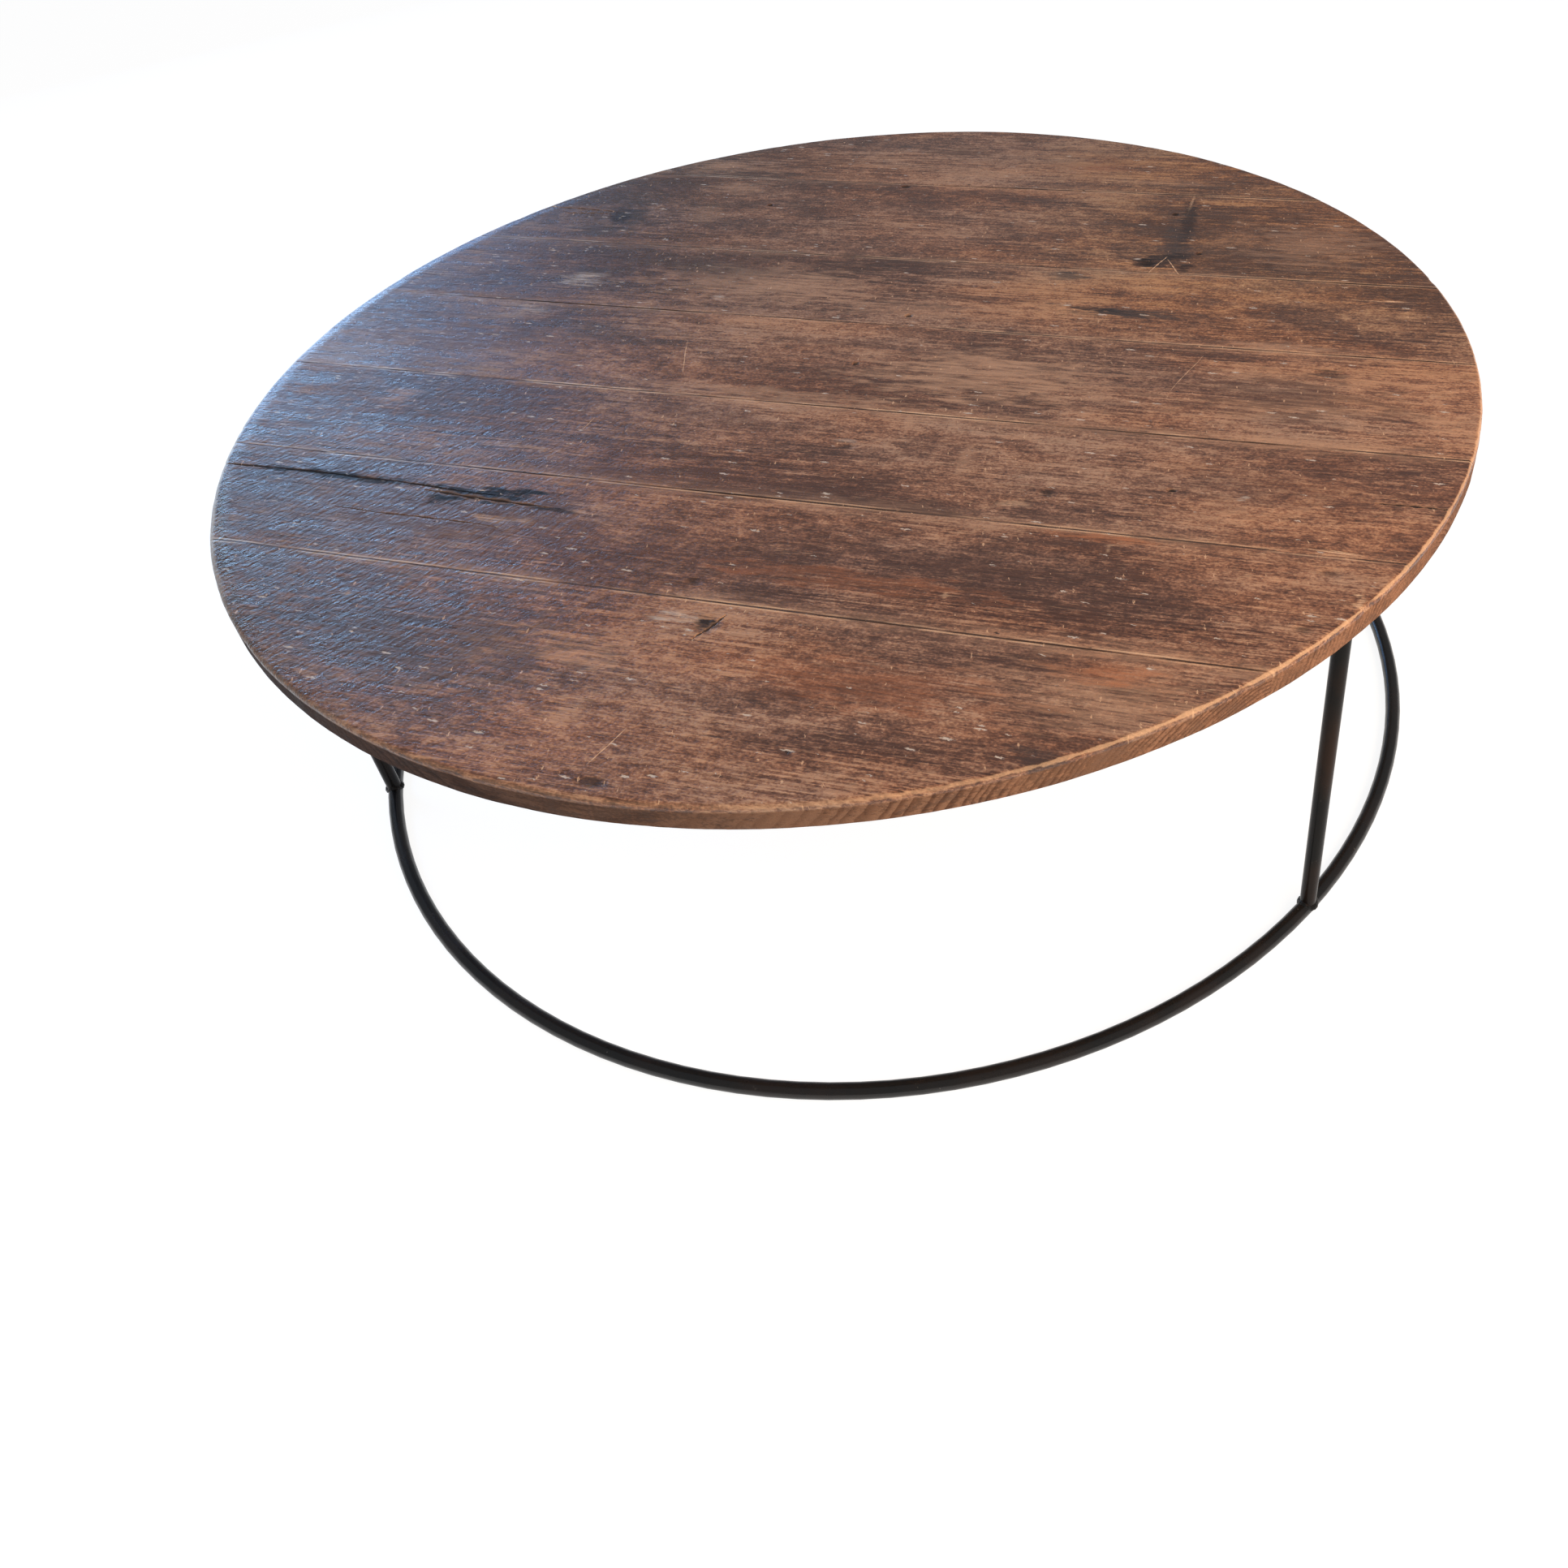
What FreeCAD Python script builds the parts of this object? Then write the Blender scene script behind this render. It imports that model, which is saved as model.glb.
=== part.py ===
# Round coffee table: seven old boards, doweled edge to edge and sawn round, on a welded frame of round bar.
# Millimetres, +Z up, X along the boards. The origin is on the floor, under the middle of the top.
import FreeCAD, Part
import math
import os
import Sketcher

SIZES = [
    ("top_diameter", "1100", "round top, across"),
    ("top_thickness", "22", "boards, underside to face"),
    ("table_height", "370", "floor to the face of the top"),
    ("rim_round", "4", "radius of the worn upper arris of the rim"),
    ("rim_chamfer", "1.5", "lower arris of the rim"),
    ("seam_ease", "0.4", "chamfer along both sides of every seam"),
    ("saw_margin", "6", "length and width that the saw takes off the glued blank"),
    ("middle_seam", "71.5", "seam between boards 3 and 4, behind the middle"),
    ("board_2_width", "182", "counted from the back"),
    ("board_3_width", "136", ""),
    ("board_4_width", "149", ""),
    ("board_5_width", "140", ""),
    ("board_6_width", "132", ""),
    ("dowel_diameter", "10", ""),
    ("dowel_length", "80", ""),
    ("dowel_spacing", "150", "along the seam"),
    ("dowel_margin", "60", "least distance of a dowel from the end of its seam"),
    ("dowel_chamfer", "1", "at both ends of a dowel"),
    ("dowel_play", "0.2", "added to the diameter and to each half length of a dowel for its hole"),
    ("bar_diameter", "14", "round bar of the whole frame"),
    ("ring_inset", "28", "from the rim of the top to the middle of both rings' bar"),
    ("rear_leg_angle", "93", "degrees from +X"),
    ("root_gap", "0.3", "between a coped or square end and the bar that it is welded to"),
    ("weld_leg", "3", "side of a fillet weld"),
    ("weld_wrap", "2", "how far a bead stands off the side of the ring"),
    ("weld_lift", "2", "edge of a bead above the middle of the ring's bar"),
    ("lug_angle", "3", "first lug, degrees from +X"),
    ("lug_reach", "48", "from the middle of the ring's bar to the round end"),
    ("lug_width", "30", ""),
    ("lug_thickness", "4", ""),
    ("lug_hole", "6.5", "wide enough for the boards to shrink and swell"),
    ("lug_weld_length", "22", "along the ring"),
    ("washer_diameter", "14", ""),
    ("washer_hole", "5.4", ""),
    ("washer_thickness", "1.2", ""),
    ("screw_diameter", "5", ""),
    ("screw_length", "18", "under the head"),
    ("screw_head_diameter", "10", ""),
    ("screw_head_height", "3.4", ""),
    ("screw_head_ease", "1.2", "chamfer round the head"),
    ("screw_play", "0.2", "added to the diameter and to the depth of a pilot hole"),
]
BOARDS = 7
LEG_NAMES = ["rear", "left", "right"]
LUGS = 6
FULL_TURN = 360

# Places that several pieces share, as expressions on the sheet.
TOP_RADIUS = "sizes.top_diameter / 2"
UNDERSIDE = "(sizes.table_height - sizes.top_thickness)"
BAR_RADIUS = "sizes.bar_diameter / 2"
RING_RADIUS = f"({TOP_RADIUS} - sizes.ring_inset)"
FLOOR_RING_Z = f"({BAR_RADIUS})"
UPPER_RING_Z = f"({UNDERSIDE} - {BAR_RADIUS})"
LUG_UNDERSIDE = f"({UNDERSIDE} - sizes.lug_thickness)"
WASHER_UNDERSIDE = f"({LUG_UNDERSIDE} - sizes.washer_thickness)"
SCREW_RADIUS = f"({RING_RADIUS} - sizes.lug_reach + sizes.lug_width / 2)"
PILOT_DEPTH = "sizes.screw_length - sizes.lug_thickness - sizes.washer_thickness + sizes.screw_play"
HALF_DOWEL_HOLE = "sizes.dowel_length / 2 + sizes.dowel_play"

# Y of the lines between the boards, from the back of the blank to its front.
SEAM_3 = "sizes.middle_seam"
SEAM_2 = f"{SEAM_3} + sizes.board_3_width"
SEAM_1 = f"{SEAM_2} + sizes.board_2_width"
SEAM_4 = f"{SEAM_3} - sizes.board_4_width"
SEAM_5 = f"{SEAM_4} - sizes.board_5_width"
SEAM_6 = f"{SEAM_5} - sizes.board_6_width"
BACK_OF_BLANK = f"{TOP_RADIUS} + sizes.saw_margin"
FRONT_OF_BLANK = f"-({TOP_RADIUS}) - sizes.saw_margin"
LINES = [BACK_OF_BLANK, SEAM_1, SEAM_2, SEAM_3, SEAM_4, SEAM_5, SEAM_6, FRONT_OF_BLANK]

doc = FreeCAD.newDocument("coffee_table")
sheet = doc.addObject("Spreadsheet::Sheet", "sizes")
for row, (alias, number, meaning) in enumerate(SIZES, start=1):
    sheet.set(f"A{row}", meaning or alias.replace("_", " "))
    sheet.set(f"B{row}", number)
    sheet.setAlias(f"B{row}", alias)
doc.recompute()


def value(expression):
    """The number that an expression on the sheet stands for."""
    return float(sheet.evalExpression(expression))


def leg_angle(number):
    return f"sizes.rear_leg_angle + {FULL_TURN // len(LEG_NAMES) * number}"


def lug_angle(number):
    return f"sizes.lug_angle + {FULL_TURN // LUGS * (number - 1)}"


def new_body(label):
    body = doc.addObject("PartDesign::Body", label)
    body.Label = label
    return body


def origin_feature(body, role):
    return next(feature for feature in body.Origin.OriginFeatures if feature.Role == role)


def new_sketch(body, name, plane):
    sketch = body.newObject("Sketcher::SketchObject", name)
    sketch.AttachmentSupport = [(origin_feature(body, plane), "")]
    sketch.MapMode = "FlatFace"
    return sketch


def dimension(sketch, kind, place, expression):
    """A dimension of the sketch that follows the sheet."""
    index = sketch.addConstraint(Sketcher.Constraint(kind, *place, value(expression)))
    sketch.setExpression(f"Constraints[{index}]", expression)


def locate(sketch, geometry, point, x, y):
    """Sets a point of the sketch at x and y from the sketch's origin."""
    dimension(sketch, "DistanceX", (-1, 1, geometry, point), x)
    dimension(sketch, "DistanceY", (-1, 1, geometry, point), y)


def circle(sketch, x, y, radius):
    centre = FreeCAD.Vector(value(x), value(y), 0)
    geometry = Part.Circle(centre, FreeCAD.Vector(0, 0, 1), value(radius))
    index = sketch.addGeometry(geometry, False)
    locate(sketch, index, 3, x, y)
    dimension(sketch, "Radius", (index,), radius)


def arc_between(start, end, centre):
    """The arc from start to end, anticlockwise round the centre."""
    first = math.atan2(start.y - centre.y, start.x - centre.x)
    last = math.atan2(end.y - centre.y, end.x - centre.x)
    if last <= first:
        last += 2 * math.pi
    round_line = Part.Circle(centre, FreeCAD.Vector(0, 0, 1), centre.distanceToPoint(start))
    return Part.ArcOfCircle(round_line, first, last)


def outline(sketch, corners, arc_centres=None):
    """A closed outline; arc_centres gives the centre of each side that is an arc, by its number."""
    arc_centres = arc_centres or {}
    points = [FreeCAD.Vector(value(x), value(y), 0) for x, y in corners]
    count = len(corners)
    for side, start in enumerate(points):
        end = points[(side + 1) % count]
        if side in arc_centres:
            x, y = arc_centres[side]
            centre = FreeCAD.Vector(value(x), value(y), 0)
            sketch.addGeometry(arc_between(start, end, centre), False)
        else:
            sketch.addGeometry(Part.LineSegment(start, end), False)
    for side, (x, y) in enumerate(corners):
        sketch.addConstraint(Sketcher.Constraint("Coincident", side, 2, (side + 1) % count, 1))
        locate(sketch, side, 1, x, y)
    for side, (x, _) in arc_centres.items():
        dimension(sketch, "DistanceX", (-1, 1, side, 3), x)


def pad(body, sketch, length, symmetric=False):
    feature = body.newObject("PartDesign::Pad", "pad")
    feature.Profile = sketch
    feature.setExpression("Length", length)
    feature.SideType = "Symmetric" if symmetric else "One side"
    return feature


def check_cut(feature):
    """A cut that misses the solid shows no error, so its volume is compared."""
    doc.recompute()
    if feature.Shape.Volume >= feature.BaseFeature.Shape.Volume:
        raise RuntimeError(f"{feature.Label} cuts nothing")


def pocket(body, sketch, length, along_normal=False):
    feature = body.newObject("PartDesign::Pocket", "pocket")
    feature.Profile = sketch
    feature.setExpression("Length", length)
    feature.Reversed = along_normal
    check_cut(feature)


def groove(body, sketch):
    """Cuts the sketch's outline all the way round the table's upright axis."""
    feature = body.newObject("PartDesign::Groove", "groove")
    feature.Profile = sketch
    feature.ReferenceAxis = (sketch, ["V_Axis"])
    feature.Angle = FULL_TURN
    check_cut(feature)


def repeat_round(body, feature, copies):
    """Spreads a feature evenly round the table's upright axis."""
    pattern = body.newObject("PartDesign::PolarPattern", "around")
    pattern.Originals = [feature]
    pattern.Axis = (origin_feature(body, "Z_Axis"), [""])
    pattern.Angle = FULL_TURN
    pattern.Occurrences = copies
    body.Tip = pattern


def turn(piece, angle):
    piece.setExpression("Placement.Rotation.Angle", angle)


def dowels_each_side(line):
    """How many dowels a seam holds on each side of its middle."""
    half_seam = math.sqrt(value(TOP_RADIUS) ** 2 - value(line) ** 2)
    return int((half_seam - value("sizes.dowel_margin")) // value("sizes.dowel_spacing"))


def dowel_sketch(body, line, height, diameter):
    """Circles along a seam, on its upright plane, at the middle of the boards' thickness."""
    sketch = new_sketch(body, "dowel_row", "XZ_Plane")
    sketch.setExpression("AttachmentOffset.Base.z", f"-({line})")
    each_side = dowels_each_side(line)
    for step in range(-each_side, each_side + 1):
        circle(sketch, f"{step} * sizes.dowel_spacing", height, f"({diameter}) / 2")
    return sketch


def saw_round(body):
    """Cuts the blank round and leaves the rim with a rounded upper and a chamfered lower arris."""
    foot_of_round = "sizes.top_thickness - sizes.rim_round"
    inside_round = f"{TOP_RADIUS} - sizes.rim_round"
    inside_chamfer = f"{TOP_RADIUS} - sizes.rim_chamfer"
    above = "sizes.top_thickness + sizes.saw_margin"
    waste = new_sketch(body, "waste", "XZ_Plane")
    corners = [
        (inside_chamfer, "0"),
        (TOP_RADIUS, "sizes.rim_chamfer"),
        (TOP_RADIUS, foot_of_round),
        (inside_round, "sizes.top_thickness"),
        (inside_round, above),
        ("sizes.top_diameter", above),
        ("sizes.top_diameter", "-sizes.saw_margin"),
        (inside_chamfer, "-sizes.saw_margin"),
    ]
    outline(waste, corners, {2: (inside_round, foot_of_round)})
    groove(body, waste)


def board(number):
    """One board of the top, modelled on its underside and lifted to its height."""
    body = new_body(f"board_{number}")
    back = LINES[number - 1]
    front = LINES[number]
    below_ease = "sizes.top_thickness - sizes.seam_ease"
    section = new_sketch(body, "section", "YZ_Plane")
    corners = [
        (front, "0"),
        (back, "0"),
        (back, below_ease),
        (f"{back} - sizes.seam_ease", "sizes.top_thickness"),
        (f"{front} + sizes.seam_ease", "sizes.top_thickness"),
        (front, below_ease),
    ]
    outline(section, corners)
    pad(body, section, "sizes.top_diameter + 2 * sizes.saw_margin", symmetric=True)
    saw_round(body)

    middle = "sizes.top_thickness / 2"
    hole = "sizes.dowel_diameter + sizes.dowel_play"
    if number > 1:
        pocket(body, dowel_sketch(body, back, middle, hole), HALF_DOWEL_HOLE, along_normal=True)
    if number < BOARDS:
        pocket(body, dowel_sketch(body, front, middle, hole), HALF_DOWEL_HOLE)

    reach = value("(sizes.screw_diameter + sizes.screw_play) / 2")
    for lug in range(1, LUGS + 1):
        screw_y = value(SCREW_RADIUS) * math.sin(math.radians(value(lug_angle(lug))))
        if value(front) - reach < screw_y < value(back) + reach:
            pilot = new_sketch(body, "pilot", "XY_Plane")
            pilot.setExpression("AttachmentOffset.Rotation.Angle", lug_angle(lug))
            circle(pilot, SCREW_RADIUS, "0", "(sizes.screw_diameter + sizes.screw_play) / 2")
            pocket(body, pilot, PILOT_DEPTH, along_normal=True)
    body.setExpression("Placement.Base.z", UNDERSIDE)
    return body


def seam_dowels(number):
    """The dowels of one seam, half of each in either board."""
    body = new_body(f"seam_{number}_dowels")
    middle = f"{UNDERSIDE} + sizes.top_thickness / 2"
    row = dowel_sketch(body, LINES[number], middle, "sizes.dowel_diameter")
    bars = pad(body, row, "sizes.dowel_length", symmetric=True)
    doc.recompute()
    ends = body.newObject("PartDesign::Chamfer", "ends")
    circles = [
        f"Edge{index}"
        for index, edge in enumerate(bars.Shape.Edges, start=1)
        if isinstance(edge.Curve, Part.Circle)
    ]
    ends.Base = (bars, circles)
    ends.setExpression("Size", "sizes.dowel_chamfer")
    return body


def ring(label, height):
    """A bar rolled into a ring and closed with a weld that is ground flush."""
    piece = doc.addObject("Part::Torus", label)
    piece.setExpression("Radius1", RING_RADIUS)
    piece.setExpression("Radius2", BAR_RADIUS)
    piece.setExpression("Placement.Base.z", height)
    return piece


def leg(name, angle):
    """An upright bar whose two ends are coped to saddle the rings."""
    body = new_body(f"{name}_leg")
    section = new_sketch(body, "section", "XY_Plane")
    section.setExpression("AttachmentOffset.Base.z", FLOOR_RING_Z)
    circle(section, RING_RADIUS, "0", BAR_RADIUS)
    pad(body, section, f"{UPPER_RING_Z} - {FLOOR_RING_Z}")
    for ring_z in (FLOOR_RING_Z, UPPER_RING_Z):
        cope = new_sketch(body, "cope", "XZ_Plane")
        circle(cope, RING_RADIUS, ring_z, f"{BAR_RADIUS} + sizes.root_gap")
        groove(body, cope)
    turn(body, angle)
    return body


def leg_bead(label, ring_z, side, angle):
    """The bead in the corner between a leg and a ring; side is 1 above the ring and -1 below it."""
    height = f"({BAR_RADIUS} + sizes.weld_leg - sizes.weld_lift)"
    wide = f"{BAR_RADIUS} + {height}"
    flare = doc.addObject("Part::Cone", f"{label}_flare")
    flare.setExpression("Radius1", wide if side > 0 else BAR_RADIUS)
    flare.setExpression("Radius2", BAR_RADIUS if side > 0 else wide)
    flare.setExpression("Height", height)
    flare.setExpression("Placement.Base.x", RING_RADIUS)
    lift = "sizes.weld_lift" if side > 0 else f"-sizes.weld_lift - {height}"
    flare.setExpression("Placement.Base.z", f"{ring_z} + {lift}")

    wrap = doc.addObject("Part::Torus", f"{label}_wrap")
    wrap.setExpression("Radius1", RING_RADIUS)
    wrap.setExpression("Radius2", f"{BAR_RADIUS} + sizes.weld_wrap")
    wrap.setExpression("Placement.Base.z", ring_z)
    blob = doc.addObject("Part::Common", f"{label}_blob")
    blob.Base = flare
    blob.Tool = wrap

    core = doc.addObject("Part::Cylinder", f"{label}_core")
    core.setExpression("Radius", BAR_RADIUS)
    core.setExpression("Height", f"{UPPER_RING_Z} - {FLOOR_RING_Z}")
    core.setExpression("Placement.Base.x", RING_RADIUS)
    core.setExpression("Placement.Base.z", FLOOR_RING_Z)
    collar = doc.addObject("Part::Cut", f"{label}_collar")
    collar.Base = blob
    collar.Tool = core

    bead = doc.addObject("Part::Cut", label)
    bead.Base = collar
    bead.Tool = ring(f"{label}_bar", ring_z)
    turn(bead, angle)
    return bead


def leg_welds(label, ring_z, side):
    """The beads of all the legs on one ring."""
    group = doc.addObject("Part::Compound", label)
    group.Links = [
        leg_bead(f"{label}_{name}", ring_z, side, leg_angle(number))
        for number, name in enumerate(LEG_NAMES)
    ]
    return group


def fixing_lug(number):
    """A flat plate with a round end, welded square to the inside of the upper ring."""
    body = new_body(f"fixing_lug_{number}")
    half = "sizes.lug_width / 2"
    plate = new_sketch(body, "plate", "XY_Plane")
    plate.setExpression("AttachmentOffset.Base.z", LUG_UNDERSIDE)
    corners = [
        (SCREW_RADIUS, f"-({half})"),
        (lug_seat(), f"-({half})"),
        (lug_seat(), half),
        (SCREW_RADIUS, half),
    ]
    outline(plate, corners, {3: (SCREW_RADIUS, "0")})
    circle(plate, SCREW_RADIUS, "0", "sizes.lug_hole / 2")
    pad(body, plate, "sizes.lug_thickness")
    turn(body, lug_angle(number))
    return body


def bar_inside(depth):
    """X of the inner side of the upper ring's bar, at a depth below its top."""
    return f"{RING_RADIUS} - sqrt(({depth}) * (sizes.bar_diameter - ({depth})))"


def lug_seat():
    """X of a lug's square end, whose lower arris meets the bar."""
    return f"{bar_inside('sizes.lug_thickness')} - sizes.root_gap"


def lug_welds():
    """The beads under the lugs, in the corner that each makes with the bar."""
    body = new_body("lug_welds")
    lowest = f"{LUG_UNDERSIDE} - sizes.weld_leg"
    bead = new_sketch(body, "bead", "XZ_Plane")
    corners = [
        (f"{lug_seat()} - sizes.weld_leg", LUG_UNDERSIDE),
        (bar_inside("sizes.lug_thickness + sizes.weld_leg"), lowest),
        (RING_RADIUS, lowest),
        (RING_RADIUS, LUG_UNDERSIDE),
    ]
    outline(bead, corners)
    run = body.newObject("PartDesign::Revolution", "run")
    run.Profile = bead
    run.ReferenceAxis = (bead, ["V_Axis"])
    run.Midplane = True
    run.setExpression("Angle", f"sizes.lug_weld_length / {RING_RADIUS} * 180 / pi")
    repeat_round(body, run, LUGS)
    bar = new_sketch(body, "bar", "XZ_Plane")
    circle(bar, RING_RADIUS, UPPER_RING_Z, BAR_RADIUS)
    groove(body, bar)
    turn(body, "sizes.lug_angle")
    return body


def lug_washers():
    body = new_body("lug_washers")
    face = new_sketch(body, "face", "XY_Plane")
    face.setExpression("AttachmentOffset.Base.z", WASHER_UNDERSIDE)
    circle(face, SCREW_RADIUS, "0", "sizes.washer_diameter / 2")
    circle(face, SCREW_RADIUS, "0", "sizes.washer_hole / 2")
    repeat_round(body, pad(body, face, "sizes.washer_thickness"), LUGS)
    turn(body, "sizes.lug_angle")
    return body


def lug_screws():
    """Wood screws driven up through the lugs into the boards, with plain shanks."""
    body = new_body("lug_screws")
    shank = f"{SCREW_RADIUS} + sizes.screw_diameter / 2"
    edge = f"{SCREW_RADIUS} + sizes.screw_head_diameter / 2"
    lowest = f"{WASHER_UNDERSIDE} - sizes.screw_head_height"
    tip = f"{WASHER_UNDERSIDE} + sizes.screw_length"
    half = new_sketch(body, "half_section", "XZ_Plane")
    corners = [
        (SCREW_RADIUS, lowest),
        (f"{edge} - sizes.screw_head_ease", lowest),
        (edge, f"{lowest} + sizes.screw_head_ease"),
        (edge, WASHER_UNDERSIDE),
        (shank, WASHER_UNDERSIDE),
        (shank, f"{tip} - sizes.screw_diameter"),
        (SCREW_RADIUS, tip),
    ]
    outline(half, corners)
    axis_side = f"Edge{len(corners)}"
    screw = body.newObject("PartDesign::Revolution", "screw")
    screw.Profile = half
    screw.ReferenceAxis = (half, [axis_side])
    screw.Angle = FULL_TURN
    repeat_round(body, screw, LUGS)
    turn(body, "sizes.lug_angle")
    return body


def build():
    pieces = [board(number) for number in range(1, BOARDS + 1)]
    pieces += [seam_dowels(number) for number in range(1, BOARDS)]
    pieces += [ring("floor_ring", FLOOR_RING_Z), ring("upper_ring", UPPER_RING_Z)]
    pieces += [leg(name, leg_angle(number)) for number, name in enumerate(LEG_NAMES)]
    pieces += [leg_welds("foot_welds", FLOOR_RING_Z, 1), leg_welds("head_welds", UPPER_RING_Z, -1)]
    pieces += [fixing_lug(number) for number in range(1, LUGS + 1)]
    pieces += [lug_welds(), lug_washers(), lug_screws()]
    return pieces


def check(pieces):
    """Stops before anything is written if a feature failed or a piece has no sound solid."""
    failed = [item.Label for item in doc.Objects if {"Invalid", "Error"} & set(item.State)]
    if failed:
        raise RuntimeError(f"failed features: {failed}")
    for piece in pieces:
        shape = piece.Shape
        if shape.isNull() or not shape.isValid() or not shape.Solids:
            raise RuntimeError(f"{piece.Label} has no sound solid")


def main():
    pieces = build()
    doc.recompute()
    check(pieces)
    os.makedirs("parts", exist_ok=True)
    for piece in pieces:
        piece.Shape.exportStep(f"parts/{piece.Label}.step")


main()
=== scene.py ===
"""Dresses a packed round coffee table: a top of seven old boards on a frame of black round bar."""
import math

import bmesh
import bpy
import numpy as np
from mathutils import Matrix, Vector


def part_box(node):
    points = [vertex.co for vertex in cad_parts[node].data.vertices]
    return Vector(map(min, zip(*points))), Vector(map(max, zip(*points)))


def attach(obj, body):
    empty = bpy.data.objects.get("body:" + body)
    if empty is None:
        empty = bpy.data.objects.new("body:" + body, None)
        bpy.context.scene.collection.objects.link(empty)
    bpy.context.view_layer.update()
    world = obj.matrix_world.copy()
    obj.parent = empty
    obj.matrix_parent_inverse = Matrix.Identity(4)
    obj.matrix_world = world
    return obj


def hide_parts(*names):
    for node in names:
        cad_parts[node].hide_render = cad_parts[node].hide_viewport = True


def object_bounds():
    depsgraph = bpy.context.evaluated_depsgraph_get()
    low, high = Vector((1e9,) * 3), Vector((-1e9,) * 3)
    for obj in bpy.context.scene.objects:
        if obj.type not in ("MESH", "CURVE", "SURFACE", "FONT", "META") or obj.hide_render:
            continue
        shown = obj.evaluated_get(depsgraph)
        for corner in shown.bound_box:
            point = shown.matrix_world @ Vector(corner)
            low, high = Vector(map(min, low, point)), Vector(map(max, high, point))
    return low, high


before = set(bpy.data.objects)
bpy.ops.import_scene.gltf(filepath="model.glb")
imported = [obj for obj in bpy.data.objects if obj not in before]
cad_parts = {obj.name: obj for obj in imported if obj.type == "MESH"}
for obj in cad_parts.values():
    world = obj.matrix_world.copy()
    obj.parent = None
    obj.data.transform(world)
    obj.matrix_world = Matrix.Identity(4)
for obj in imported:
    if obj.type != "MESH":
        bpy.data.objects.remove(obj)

bl_info = {
    "name": "Round coffee table",
    "version": (1, 0, 0),
    "blender": (4, 5, 0),
    "location": "3D View > Sidebar > Coffee table",
    "description": "Models the worn boards and weld beads of a round coffee table and gives every piece its finish",
    "category": "Object",
}

BOARDS = 7
LEGS = ("rear_leg", "left_leg", "right_leg")
CAD_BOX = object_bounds()
TOP_RADIUS = CAD_BOX[1].x
TOP_FACE = CAD_BOX[1].z
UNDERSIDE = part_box("board_4")[0].z


def paint(red, green, blue):
    """A colour as it shows on a screen, 0 to 255 each, made linear."""
    shares = (red / 255, green / 255, blue / 255)
    return tuple(c / 12.92 if c <= 0.04045 else ((c + 0.055) / 1.055) ** 2.4 for c in shares)


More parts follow.
